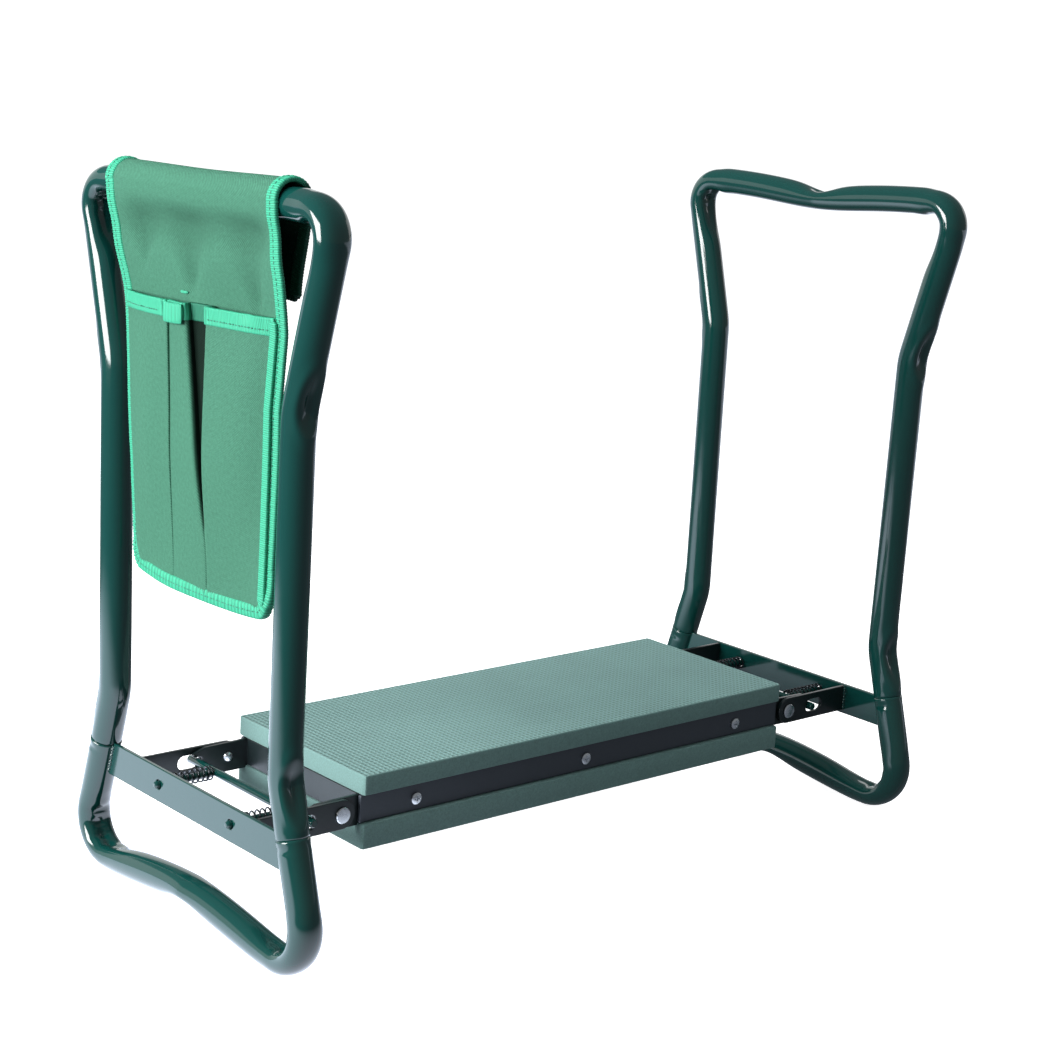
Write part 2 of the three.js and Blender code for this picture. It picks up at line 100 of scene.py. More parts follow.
class LockSizes(bpy.types.PropertyGroup):
    """Sizes of the pivots, lock rods, guide pins and springs"""

    pivot: length("Pivot", "Distance of each hinge rivet from the middle", 0.216)
    height: length("Height", "Height of the rivets, rods and springs", 0.082)
    rod: length("Rod", "Distance of each lock rod from the middle", 0.241)
    pins: length("Pins", "Distance of each guide pin from the middle of its rod", 0.044)
    coil: length("Coil", "Radius of the spring's coil, at the middle of the wire", 0.0047)
    turns: IntProperty(name="Turns", description="Turns of each lock spring", default=10)
    wire: length("Wire", "Radius of the spring wire", 0.00062)


class PouchSizes(bpy.types.PropertyGroup):
    """Sizes of the hanging tool pouch"""

    hang: length("Hang", "Distance of the hanging cloth from the middle", 0.2875)
    bottom: length("Bottom", "Height of the pouch's lower edge", 0.2240)
    corner: length("Corner", "Radius of the pouch's lower corners", 0.013)
    pocket_top: length("Pocket top", "Height of the pocket's mouth", 0.4125)
    bulge: length("Bulge", "How far the pocket stands off the panel", 0.0068)
    binding: length("Binding", "Width of the binding tape", 0.0096)


class Colours(bpy.types.PropertyGroup):
    """Colours of the finishes"""

    enamel: paint("Enamel", "Gloss paint of the tubes", (0.0030, 0.041, 0.036))
    plate: paint("Dark plate", "Paint of the arms and brackets", (0.006, 0.012, 0.013))
    rail: paint("Rail", "Paint of the side rails", (0.035, 0.044, 0.058))
    foam: paint("Foam", "Foam of the pads", (0.128, 0.240, 0.226))
    zinc: paint("Zinc", "Plating of the screws and rivets", (0.62, 0.64, 0.66))
    spring: paint("Spring", "Oiled spring wire", (0.05, 0.055, 0.06))
    cloth: paint("Cloth", "Twill of the pouch", (0.051, 0.166, 0.110))
    binding: paint("Binding", "Binding tape of the pouch", (0.038, 0.36, 0.215))
    thread: paint("Thread", "Sewing thread", (0.02, 0.16, 0.10))
    core: paint("Core", "Board between the pads", (0.04, 0.042, 0.046))


# Surfaces


def smooth_step(x):
    """Zero below 0, one above 1, and an even S between them."""
    x = np.clip(x, 0, 1)
    return x * x * (3 - 2 * x)


def unit(vectors):
    """Each vector divided by its own length."""
    return vectors / np.maximum(np.linalg.norm(vectors, axis=-1, keepdims=True), 1e-12)


def fillet(before, here, after, radius, step):
    """Points of the arc that touches both runs at a corner: its centre lies on the bisector, at the
    radius over the sine of half the corner's angle. The arc takes up less than half of either run."""
    back, ahead = unit(before - here), unit(after - here)
    half = math.acos(float(np.clip(back @ ahead, -1, 1))) / 2
    shortest = min(np.linalg.norm(before - here), np.linalg.norm(after - here))
    radius = min(radius, 0.49 * shortest * math.tan(half))
    centre = here + unit(back + ahead) * radius / math.sin(half)
    start = here + back * radius / math.tan(half) - centre
    end = here + ahead * radius / math.tan(half) - centre
    first = math.atan2(start[1], start[0])
    turn = (math.atan2(end[1], end[0]) - first + math.pi) % (2 * math.pi) - math.pi
    angles = first + turn * np.linspace(0, 1, max(2, int(abs(turn) / step) + 2))
    return centre + radius * np.stack([np.cos(angles), np.sin(angles)], 1)


def outline(corners, step=0.2):
    """A closed outline from (across, up, radius) corners, each rounded by its own arc."""
    points = np.array([c[:2] for c in corners], float)
    arcs = []
    for i, corner in enumerate(corners):
        if corner[2] > 0:
            arcs.append(fillet(points[i - 1], points[i], points[(i + 1) % len(points)], corner[2], step))
        else:
            arcs.append(points[i : i + 1])
    return np.concatenate(arcs)


def bent_route(corners, spacing):
    """Centreline of a bent tube: straight runs and rounded corners, with even spacing.
    Returns the points, their distance along, and the distance of each corner's middle."""
    points = np.array([c[:2] for c in corners], float)
    runs, counts = [points[:1]], []
    for i in range(1, len(corners) - 1):
        runs.append(fillet(points[i - 1], points[i], points[i + 1], corners[i][2], 0.02))
        counts.append(len(runs[-1]))
    runs.append(points[-1:])
    line = np.concatenate(runs)
    along = distances(line)
    starts = 1 + np.concatenate([[0], np.cumsum(counts)[:-1]])
    middles = [along[int(s + c // 2)] for s, c in zip(starts, counts)]
    even = np.linspace(0, along[-1], int(along[-1] / spacing) + 1)
    return np.stack([np.interp(even, along, line[:, k]) for k in (0, 1)], 1), even, middles


def grid_quads(rows, columns, wrap_rows=False, wrap_columns=False, first=0):
    """Corner numbers of a grid's four-sided faces, row by row."""
    r = np.arange(rows if wrap_rows else rows - 1)[:, None]
    c = np.arange(columns if wrap_columns else columns - 1)[None, :]
    r2, c2 = (r + 1) % rows, (c + 1) % columns
    corners = [r * columns + c, r * columns + c2, r2 * columns + c2, r2 * columns + c]
    return np.stack(corners, -1).reshape(-1, 4) + first


def mesh_piece(name, points, quads=None, triangles=None, sharp=None):
    """A mesh object at the origin from whole arrays of points and faces."""
    mesh = bpy.data.meshes.new(name)
    quads = np.zeros((0, 4), int) if quads is None else quads
    triangles = np.zeros((0, 3), int) if triangles is None else triangles
    loops = np.concatenate([quads.ravel(), triangles.ravel()]).astype(np.int32)
    totals = np.concatenate([np.full(len(quads), 4), np.full(len(triangles), 3)])
    starts = np.concatenate([[0], np.cumsum(totals)[:-1]]).astype(np.int32)
    mesh.vertices.add(len(points))
    mesh.vertices.foreach_set("co", np.asarray(points, np.float32).ravel())
    mesh.loops.add(len(loops))
    mesh.loops.foreach_set("vertex_index", loops)
    mesh.polygons.add(len(totals))
    mesh.polygons.foreach_set("loop_start", starts)
    mesh.update(calc_edges=True)
    mesh.validate()
    mesh.shade_smooth()
    if sharp is not None:
        mesh.set_sharp_from_angle(angle=math.radians(sharp))
    piece = bpy.data.objects.new(name, mesh)
    bpy.context.scene.collection.objects.link(piece)
    return piece


def face_outwards(piece):
    """Turns the faces of closed shells outwards."""
    work = bmesh.new()
    work.from_mesh(piece.data)
    bmesh.ops.recalc_face_normals(work, faces=work.faces)
    work.to_mesh(piece.data)
    work.free()
    return piece


def ring_stack(name, rings, sharp=None):
    """A closed skin through a stack of rings, with a pole at the middle of each end ring."""
    rows, columns = rings.shape[:2]
    points = np.concatenate([rings.reshape(-1, 3), rings[:1].mean(1), rings[-1:].mean(1)])
    quads = grid_quads(rows, columns, wrap_columns=True)
    c = np.arange(columns)
    after = (c + 1) % columns
    pole = np.full(columns, rows * columns)
    last = (rows - 1) * columns
    fans = [np.stack([pole, after, c], 1), np.stack([pole + 1, last + c, last + after], 1)]
    return face_outwards(mesh_piece(name, points, quads, np.concatenate(fans), sharp))


def strip_ends(count, ramp):
    """Weights that fall to zero in a quarter circle over the first and last stations."""
    i = np.arange(count)
    near = np.minimum(i, count - 1 - i) / ramp
    return np.sqrt(1 - (1 - np.clip(near, 0, 1)) ** 2)


def frames_along(line, hint):
    """Unit direction along a line, the hint made square to it, and the third axis."""
    along = unit(np.gradient(line, axis=0))
    side = unit(hint - (hint * along).sum(-1, keepdims=True) * along)
    return along, side, np.cross(along, side)


def lathe(name, profile, axis, centre, sides=40, sharp=35):
    """A profile of (radius, height) points turned about an axis; radius zero is a pole at each end."""
    profile = np.array(profile, float)
    inner = profile[1:-1]
    angle = np.linspace(0, 2 * math.pi, sides, endpoint=False)
    across = {"x": ([0, 1, 0], [0, 0, 1]), "y": ([0, 0, 1], [1, 0, 0])}[axis]
    up = np.array({"x": [1, 0, 0], "y": [0, 1, 0]}[axis], float)
    spoke = np.cos(angle)[:, None] * np.array(across[0]) + np.sin(angle)[:, None] * np.array(across[1])
    rings = inner[:, 0, None, None] * spoke + inner[:, 1, None, None] * up + np.array(centre, float)
    piece = ring_stack(name, rings, sharp)
    co = np.zeros(len(piece.data.vertices) * 3, np.float32)
    piece.data.vertices.foreach_get("co", co)
    co = co.reshape(-1, 3)
    co[-2] = profile[0, 1] * up + np.array(centre)
    co[-1] = profile[-1, 1] * up + np.array(centre)
    piece.data.vertices.foreach_set("co", co.ravel())
    piece.data.update()
    return piece


def filled(loops):
    """Triangles that fill the first loop and leave the others open: a constrained triangulation of
    all the points, of which those stay whose middle has an odd number of edges to its right."""
    flat = np.concatenate(loops)
    sizes = [len(loop) for loop in loops]
    firsts = np.concatenate([[0], np.cumsum(sizes)[:-1]])
    runs = [(first + np.arange(n), first + (np.arange(n) + 1) % n) for first, n in zip(firsts, sizes)]
    edges = np.concatenate([np.stack(run, 1) for run in runs])
    made = delaunay_2d_cdt([Vector(p) for p in flat], edges.tolist(), [], 0, 1e-9)
    back = np.array([o[0] for o in made[3]])
    triangles = back[np.array(made[2])]
    middle = flat[triangles].mean(1)[:, None]
    a, b = flat[edges[:, 0]][None], flat[edges[:, 1]][None]
    span = (a[..., 1] > middle[..., 1]) != (b[..., 1] > middle[..., 1])
    rise = np.where(span, b[..., 1] - a[..., 1], 1.0)
    right = middle[..., 0] < (b[..., 0] - a[..., 0]) * (middle[..., 1] - a[..., 1]) / rise + a[..., 0]
    return triangles[(span & right).sum(1) % 2 == 1]


def plate(name, loops, low, high, place, bevel=0.0005):
    """A flat plate: each closed loop is carried from the low face to the high one, drawn in by a
    quarter-round bevel at both, and the two faces are filled between the loops."""
    points, quads, caps, count = [], [], [[], []], 0
    heights = [low, low + bevel * 0.3, low + bevel, high - bevel, high - bevel * 0.3, high]
    insets = [bevel, bevel * 0.3, 0, 0, bevel * 0.3, bevel]
    for number, loop in enumerate(loops):
        ahead, back = np.roll(loop, -1, 0), np.roll(loop, 1, 0)
        runs = unit(ahead - loop) + unit(loop - back)
        out = unit(np.stack([runs[:, 1], -runs[:, 0]], 1))
        area = (loop[:, 0] * ahead[:, 1] - ahead[:, 0] * loop[:, 1]).sum()
        out *= (1 if area > 0 else -1) * (1 if number == 0 else -1)
        rings = np.stack([
            np.column_stack([loop - out * inset, np.full(len(loop), height)])
            for height, inset in zip(heights, insets)
        ])
        points.append(rings.reshape(-1, 3))
        quads.append(grid_quads(len(heights), len(loop), wrap_columns=True, first=count))
        caps[0].append(np.arange(len(loop)) + count)
        caps[1].append(np.arange(len(loop)) + count + 5 * len(loop))
        count += rings.shape[0] * rings.shape[1]
    face = filled(loops)
    triangles = [np.concatenate(cap)[face] for cap in caps]
    points = place(np.concatenate(points))
    return face_outwards(mesh_piece(name, points, np.concatenate(quads), np.concatenate(triangles), 18))


def upright(points):
    """Outline across and up, thickness along y."""
    return np.stack([points[:, 0], points[:, 2], points[:, 1]], 1)


def crosswise(points):
    """Outline along y and up, thickness along x."""
    return np.stack([points[:, 2], points[:, 0], points[:, 1]], 1)


def circle(across, up, radius, sides=28):
    """A closed outline of points at one distance from a centre."""
    angle = np.linspace(0, 2 * math.pi, sides, endpoint=False)
    return np.stack([across + radius * np.cos(angle), up + radius * np.sin(angle)], 1)


def distances(line):
    """Distance along a line at each of its points."""
    return np.concatenate([[0], np.cumsum(np.linalg.norm(np.diff(line, axis=0), axis=1))])


def wire_rings(line, hint, size, sides):
    """Rings round a line: circles of the given size at each point, square to the line."""
    _, side, third = frames_along(line, hint)
    angle = np.linspace(0, 2 * math.pi, sides, endpoint=False)
    spokes = np.cos(angle)[None, :, None] * side[:, None] + np.sin(angle)[None, :, None] * third[:, None]
    return line[:, None] + size[:, None, None] * spokes


def thicken(piece, thickness):
    """Gives a sheet its thickness, half to each side."""
    shell = piece.modifiers.new("Thickness", "SOLIDIFY")
    shell.thickness = thickness
    shell.offset = 0.0
    shell.use_even_offset = False
    return piece


# Finishes


class Finish:
    """A material built node by node."""

    def __init__(self, name, colour, **values):
        self.material = bpy.data.materials.new(name)
        self.material.use_nodes = True
        self.tree = self.material.node_tree
        self.shader = self.tree.nodes["Principled BSDF"]
        self.shader.inputs["Base Color"].default_value = (*colour, 1)
        for key, value in values.items():
            self.shader.inputs[key.replace("_", " ")].default_value = value
        self.count = 0

    def node(self, kind, settings=None, **inputs):
        """Adds a node. An input is given by its name, or by its number as i0, i1 and so on."""
        made = self.tree.nodes.new(kind)
        made.location = (-220 - 200 * (self.count // 4), 300 - 190 * (self.count % 4))
        self.count += 1
        for key, value in (settings or {}).items():
            setattr(made, key, value)
        for key, value in inputs.items():
            socket = made.inputs[int(key[1:])] if key[0] == "i" and key[1:].isdigit() else made.inputs[key]
            self.put(value, socket)
        return made

    def put(self, value, socket):
        """Links a socket or a node to an input, or sets the input to a plain value."""
        if isinstance(value, bpy.types.NodeSocket):
            self.tree.links.new(value, socket)
        elif isinstance(value, bpy.types.Node):
            self.tree.links.new(value.outputs[0], socket)
        else:
            socket.default_value = value

    def position(self):
        return self.node("ShaderNodeTexCoord").outputs["Object"]

    def noise(self, scale, detail=3.0, where=None):
        made = self.node("ShaderNodeTexNoise", Scale=scale, Detail=detail)
        self.put(where or self.position(), made.inputs["Vector"])
        return made.outputs["Fac"]

    def spread(self, value, low, high, from_low=0.3, from_high=0.7):
        """The value, carried from one range to another."""
        made = self.node("ShaderNodeMapRange", i0=value, i1=from_low, i2=from_high, i3=low, i4=high)
        return made.outputs[0]

    def tint(self, value, low, high):
        """A mix of two colours, each of which is three numbers or another node's colour."""
        made = self.node("ShaderNodeMix", {"data_type": "RGBA"}, i0=value)
        for number, colour in ((6, low), (7, high)):
            self.put((*colour, 1) if isinstance(colour, tuple) else colour, made.inputs[number])
        return made.outputs[2]

    def maths(self, operation, first, second=0.0):
        return self.node("ShaderNodeMath", {"operation": operation}, i0=first, i1=second).outputs[0]

    def relief(self, height, distance, strength=1.0):
        made = self.node("ShaderNodeBump", Height=height, Distance=distance, Strength=strength)
        self.put(made.outputs[0], self.shader.inputs["Normal"])

    def colour(self, value):
        self.put(value, self.shader.inputs["Base Color"])

    def rough(self, value):
        self.put(value, self.shader.inputs["Roughness"])


def shade(colour, factor):
    """A colour times a factor, cut off at one."""
    return tuple(min(1.0, c * factor) for c in colour)


def finishes():
    """All the finishes, made once and kept by name."""
    if "Enamel" in bpy.data.materials:
        return {m.name: m for m in bpy.data.materials}
    c = bpy.context.scene.kneeler_colours
    enamel = Finish("Enamel", c.enamel, Roughness=0.1, IOR=1.55)
    enamel.rough(enamel.spread(enamel.noise(18), 0.07, 0.13))
    enamel.relief(enamel.noise(70, 2.0), 0.0002, 0.2)
    dark = Finish("Plate", c.plate, Roughness=0.3)
    dark.rough(dark.spread(dark.noise(40), 0.25, 0.4))
    dark.relief(dark.noise(160, 2.0), 0.0002, 0.3)
    rail = Finish("Rail", c.rail, Roughness=0.45)
    rail.rough(rail.spread(rail.noise(60), 0.38, 0.52))
    rail.relief(rail.noise(300, 2.0), 0.0002, 0.3)
    foam = Finish("Foam", c.foam, Roughness=0.85, Sheen_Weight=0.15)
    grain = foam.noise(900, 2.0)
    foam.colour(foam.tint(foam.spread(grain, 0, 1), shade(c.foam, 0.86), shade(c.foam, 1.12)))
    foam.relief(grain, 0.0003, 0.5)
    skin = Finish("FoamGrain", c.foam, Roughness=0.7, Sheen_Weight=0.1)
    # Painted shade in the pits: the colour runs from a third of the foam's at a pit's bottom to a little
    # above it on the raised face, with random patches of tone over it.
    raised = skin.node("ShaderNodeAttribute", {"attribute_name": "grain"}).outputs["Fac"]
    patch = skin.spread(skin.noise(14), 0.0, 0.16)
    level = skin.maths("ADD", skin.spread(raised, 0.0, 0.92, 0.2, 0.9), patch)
    skin.colour(skin.tint(level, shade(c.foam, 0.34), shade(c.foam, 1.2)))
    zinc = Finish("Zinc", c.zinc, Metallic=1.0, Roughness=0.25)
    zinc.rough(zinc.spread(zinc.noise(400), 0.18, 0.38))
    spring = Finish("SpringWire", c.spring, Metallic=1.0, Roughness=0.22)
    spring.rough(spring.spread(spring.noise(300), 0.16, 0.34))
    core = Finish("Core", c.core, Roughness=0.8)
    core.rough(core.spread(core.noise(60), 0.7, 0.9))
    core.colour(core.tint(core.spread(core.noise(25), 0, 1), shade(c.core, 0.8), shade(c.core, 1.2)))
    weave("Twill", c.cloth)
    # The second tape finish is the binding at a tenth of its brightness: painted shade for the rear edge's
    # tape behind the bar.
    for name, colour in (("Binding", c.binding), ("BindingDark", shade(c.binding, 0.1))):
        tape = Finish(name, colour, Roughness=0.6, Specular_IOR_Level=0.25)
        place = tape.node("ShaderNodeUVMap")
        wave = {"bands_direction": "X"}
        ribs = tape.node("ShaderNodeTexWave", wave, Vector=place, Scale=230.0, Distortion=0.4)
        raised = tape.spread(ribs.outputs["Fac"], 0, 1, 0, 1)
        dyed = tape.tint(raised, shade(colour, 0.62), shade(colour, 1.12))
        # Painted shade: where the shadow mark is set, the tape darkens to a sixteenth of its colour.
        painted_shade = tape.node("ShaderNodeAttribute", {"attribute_name": "shadow"}).outputs["Fac"]
        tape.colour(tape.tint(painted_shade, dyed, shade(colour, 0.06)))
        tape.relief(ribs.outputs["Fac"], 0.0003, 0.5)
    thread = Finish("Thread", c.thread, Roughness=0.6)
    thread.rough(thread.spread(thread.noise(500), 0.5, 0.7))
    return {m.name: m for m in bpy.data.materials}


def weave(name, colour):
    """Twill: fine slanting ribs across the cloth's own map, broken by the threads' crossings; painted shade
    darkens it where the shadow mark is set.
    """
    cloth = Finish(name, colour, Roughness=0.9, Specular_IOR_Level=0.12)
    place = cloth.node("ShaderNodeUVMap")
    parts = cloth.node("ShaderNodeSeparateXYZ", i0=place)
    rib_pitch, knot_pitch = 0.0016, 0.0012
    slant = cloth.maths("ADD", parts.outputs[0], parts.outputs[1])
    slant = cloth.maths("MULTIPLY", slant, 2 * math.pi / rib_pitch)
    cross = cloth.maths("SUBTRACT", parts.outputs[0], parts.outputs[1])
    cross = cloth.maths("MULTIPLY", cross, 2 * math.pi / knot_pitch)
    rib = cloth.maths("SINE", slant)
    knot = cloth.maths("MULTIPLY", cloth.maths("SINE", cross), 0.45)
    height = cloth.maths("ADD", rib, knot)
    worn = cloth.maths("MULTIPLY", cloth.noise(420, 3.0, place.outputs[0]), 2.6)
    level = cloth.spread(cloth.maths("ADD", height, worn), 0.0, 1.0, -0.8, 3.2)
    dyed = cloth.tint(level, shade(colour, 0.60), shade(colour, 1.38))
    # Painted shade: where the shadow mark is set, the cloth darkens to a twentieth of its colour.
    painted_shade = cloth.node("ShaderNodeAttribute", {"attribute_name": "shadow"}).outputs["Fac"]
    cloth.colour(cloth.tint(painted_shade, dyed, shade(colour, 0.05)))
    cloth.relief(height, 0.00025, 0.6)


def finish_piece(piece, finish, body=None, nodes=()):
    """Gives a piece its finish, its body and the nodes that it stands for."""
    piece.data.materials.clear()
    piece.data.materials.append(finishes()[finish])
    if body:
        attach(piece, body)
    if nodes:
        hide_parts(*nodes)
    return piece


def flat_map(piece, across, along):
    """Lays the grid's own distances in metres on the piece as its UV map."""
    layer = piece.data.uv_layers.new(name="UVMap")
    corner = np.zeros(len(piece.data.loops), np.int32)
    piece.data.loops.foreach_get("vertex_index", corner)
    uv = np.stack([np.ravel(across), np.ravel(along)], 1).astype(np.float32)
    layer.data.foreach_set("uv", uv[corner].ravel())
    return piece


# Legs


def post_half_width(z):
    """Half-width of the lower posts' centreline: a straight run from the foot to the lower waist."""
    return 0.103 + (0.131 - z) * 0.2878


# What differs between the two loops of a leg: the way that the bar lies, how widely it dips, where the
# corners' inner dish lies and how sharply it starts, the thinning of the bar's inner side, the depth of
# the crimp beside the seam, and the radius at the seam
HANDLE = {
    "up": 1, "dip_spread": 0.060, "dish_at": 0.010, "dish_reach": 0.030, "dish_power": 4.0,
    "thinning": 0.0016, "crimp": 0.0, "seam_radius": 0.0107,
}
FOOT = {
    "up": -1, "dip_spread": 0.075, "dish_at": 0.013, "dish_reach": 0.036, "dish_power": 2.4,
    "thinning": 0.0, "crimp": 0.0009, "seam_radius": 0.0111,
}
TUBE_SIDES = 48
BAR_FLOOR, FOOT_CEILING = 0.44, 0.05
RIPPLE_PITCH = 0.0135

# The two legs are bent by hand, so that their corners stand a little differently: the handle's corners
# across and over the bar's height, and the far waist's and the foot corners' distances from the middle
BENDS = {
    "left": {
        "handle_near": (0.1383, 0.0040), "handle_far": (0.1388, 0.0002), "far_waist": 0.1062,
        "foot_near": 0.1400, "foot_far": 0.1395,
    },
    "right": {
        "handle_near": (0.1372, 0.0030), "handle_far": (0.1358, -0.0006), "far_waist": 0.1045,
        "foot_near": 0.1378, "foot_far": 0.1380,
    },
}
LOW_WAIST, NEAR_WAIST, HIGH_WAIST_Z = (0.103, 0.131), 0.105, 0.362
FOOT_CORNER_Z = 0.0096


def tube_skin(name, x, corners, bends, dimples, loop, sizes):
    """A tube's skin on its bent route. Each ring is a circle in the plane of the route's outward side
    and the x axis. The radius is drawn in on the outer side of bends and creases, swells sideways
    where it is flattened, ripples on the inner side of bends, and dips in ovals at the waists."""
    line, along, middles = bent_route(corners, 0.0017)
    up = loop["up"]
    beyond = line[:, 1] - BAR_FLOOR if up > 0 else FOOT_CEILING - line[:, 1]
    on_bar = smooth_step(beyond / 0.03)
    sag = sizes.bar_dip if up > 0 else -sizes.foot_arch
    line[:, 1] -= on_bar * sag * np.exp(-((line[:, 0] / loop["dip_spread"]) ** 2))
    direction = unit(np.gradient(line, axis=0))
    out = np.stack([-direction[:, 1], direction[:, 0]], 1) * up
    angle = np.linspace(0, 2 * math.pi, TUBE_SIDES, endpoint=False)[None, :]
    outer, inner = np.clip(np.cos(angle), 0, 1), np.clip(-np.cos(angle), 0, 1)
    side = np.abs(np.sin(angle))
    s = along[:, None]
    radius = np.full((len(line), TUBE_SIDES), sizes.radius)
    for number, reach, flat, ripple in bends:
        weight = np.exp(-(((s - middles[number]) / reach) ** 4))
        radius -= weight * sizes.radius * (flat * outer**1.5 - 0.7 * flat * side**2)
        drop = (s - middles[number]) * (1 if middles[number] > along[-1] / 2 else -1) * up
        away = np.abs((drop - loop["dish_at"]) / loop["dish_reach"])
        dish = np.exp(-(away ** loop["dish_power"]))
        radius -= dish * sizes.dish * np.clip(inner * 1.1 - 0.1, 0, 1) ** 2.2
        radius += weight * ripple * inner**3 * np.cos(drop * 2 * math.pi / RIPPLE_PITCH)
    around = (angle + math.pi) % (2 * math.pi) - math.pi
    for number in dimples:
        height = line[int(np.searchsorted(along, middles[number])), 1]
        lift = 0.008 * np.sign(height - 0.25) * (1 if middles[number] < along[-1] / 2 else -1)
        away = np.sqrt(((s - middles[number] - lift) / 0.023) ** 2 + around**2 / 0.72)
        radius -= sizes.dimple * (1 - smooth_step(away / 1.05))
        radius += 0.0007 * np.exp(-(((away - 1.1) / 0.25) ** 2))
    across = np.abs(line[:, 0])[:, None]
    crease = on_bar[:, None] * np.exp(-((across / 0.015) ** 1.4))
    radius -= crease * (sizes.pinch * outer**1.5 - 0.0011 * side**2)
    radius -= loop["thinning"] * on_bar[:, None] * smooth_step((0.112 - across) / 0.02) * inner**2
    ends = np.minimum(s, along[-1] - s)
    radius += (1 - smooth_step(ends / 0.004)) * (loop["seam_radius"] - sizes.radius)
    radius -= loop["crimp"] * np.exp(-(((ends - 0.006) / 0.0016) ** 2)) * side**6
    outward = np.cos(angle) * radius
    spokes = np.stack([np.sin(angle) * radius, outward * out[:, :1], outward * out[:, 1:]], -1)
    centres = np.stack([np.full(len(line), x), line[:, 0], line[:, 1]], 1)
    return ring_stack(name, spokes + centres[:, None, :])


class OBJECT_OT_leg_tubes(bpy.types.Operator):
    """Adds the handle tube and the foot tube of both legs"""

    bl_idname = "kneeler.leg_tubes"
    bl_label = "Leg tubes"

    def execute(self, context):
        sizes = context.scene.kneeler_legs
        seam, bar = sizes.seam, sizes.bar_height
        seam_y = post_half_width(seam)
        for side, sign in SIDES:
            bend = BENDS[side]
            near, far = bend["handle_near"], bend["handle_far"]
            handle = [
                (-seam_y, seam, 0), (-LOW_WAIST[0], LOW_WAIST[1], 0.045), (-NEAR_WAIST, HIGH_WAIST_Z, 0.060),
                (-near[0], bar + near[1], 0.018), (far[0], bar + far[1], 0.018),
                (bend["far_waist"], HIGH_WAIST_Z, 0.060), (*LOW_WAIST, 0.045), (seam_y, seam, 0),
            ]
            foot = [
                (-seam_y, seam, 0), (-bend["foot_near"], FOOT_CORNER_Z, 0.027),
                (bend["foot_far"], FOOT_CORNER_Z, 0.027), (seam_y, seam, 0),
            ]
            handle_bends = [(corner, 0.021, 0.17, 0.0010) for corner in (2, 3)]
            foot_bends = [(corner, 0.028, 0.15, 0.0008) for corner in (0, 1)]
            loops = (
                ("handle", handle, handle_bends, (0, 1, 4, 5), HANDLE),
                ("foot", foot, foot_bends, (), FOOT),
            )
            for part, *route in loops:
                tube = tube_skin(f"{side}_{part}_tube", sign * sizes.plane, *route, sizes)
                finish_piece(tube, "Enamel", f"{side}_leg", [f"{side}_{part}_loop"])
        return {"FINISHED"}


def bead(name, start, end, radius, seed):
    """A weld bead: a thin tube whose radius swells and shrinks along its run."""
    t = np.linspace(0, 1, 60)
    line = np.array(start) + (np.array(end) - np.array(start)) * t[:, None]
    hint = np.tile([0.577, 0.577, -0.577], (len(t), 1))
    swell = 1 + 0.18 * np.sin(t * 57 + seed) + 0.1 * np.sin(t * 23 + 2 * seed)
    size = np.maximum(radius * swell * strip_ends(len(t), 6), radius * 0.05)
    return ring_stack(name, wire_rings(line, hint, size, 12))


BAR_LOW, BAR_HIGH = 0.0688, 0.0928
BAR_FACES = (0.2824, 0.2855)
ARM_FACES = (0.0685, 0.0715)
ARM_END = 0.2822
ARM_HALF_HEIGHT = 0.0102
SLOT_HALF_HEIGHT = 0.0052
SLOT_ENDS = (0.2368, 0.2550)
POST_WELD = (0.0705, 0.0915)


class OBJECT_OT_crossbars(bpy.types.Operator):
    """Adds the flat bar between the posts of each leg, the two swing arms welded to it, and the welds"""

    bl_idname = "kneeler.crossbars"
    bl_label = "Crossbars and arms"

    def execute(self, context):
        locks = context.scene.kneeler_locks
        for side, sign in SIDES:
            ends = [(post_half_width(height) - 0.0108, height) for height in (BAR_LOW, BAR_HIGH)]
            corners = [(y, h, 0.0010) for y, h in ends] + [(-y, h, 0.0010) for y, h in reversed(ends)]
            holes = [circle(way * locks.pins, locks.height - 0.001, 0.0034) for _, way in ENDS]
            faces = sorted(sign * face for face in BAR_FACES)
            bar = plate(f"{side}_crossbar_plate", [outline(corners), *holes], *faces, crosswise, 0.0006)
            finish_piece(bar, "Enamel", f"{side}_leg", [f"{side}_crossbar"])
            for end, way in ENDS:
                arm_plate(side, sign, end, way, locks)
                for weld in self.welds(side, sign, end, way):
                    finish_piece(weld, "Enamel", f"{side}_leg")
        return {"FINISHED"}

    def welds(self, side, sign, end, way):
        """A short bead under an arm's end, a long one up its face, and one up the post."""
        x = sign * ARM_END
        low, high = way * 0.0690, way * ARM_FACES[1]
        post_x = sign * 0.2853
        foot, head = (way * (post_half_width(height) - 0.0112) for height in (0.070, POST_WELD[1]))
        return (
            bead(f"{side}_arm_weld_{end}_0", (x, low, 0.0730), (x, low, 0.0720), 0.0013, 1.7),
            bead(f"{side}_arm_weld_{end}_1", (x, high, 0.0720), (x, high, 0.0925), 0.0013, 2.7),
            bead(
                f"{side}_post_weld_{end}",
                (post_x, foot, POST_WELD[0]), (post_x, head, POST_WELD[1]), 0.0014, 3.1,
            ),
        )


def box_outline(left, right, low, high, radii):
    """A rectangle's outline, with one radius for each pair of upright sides."""
    return outline([
        (left, low, radii[0]), (left, high, radii[0]), (right, high, radii[1]), (right, low, radii[1]),
    ])


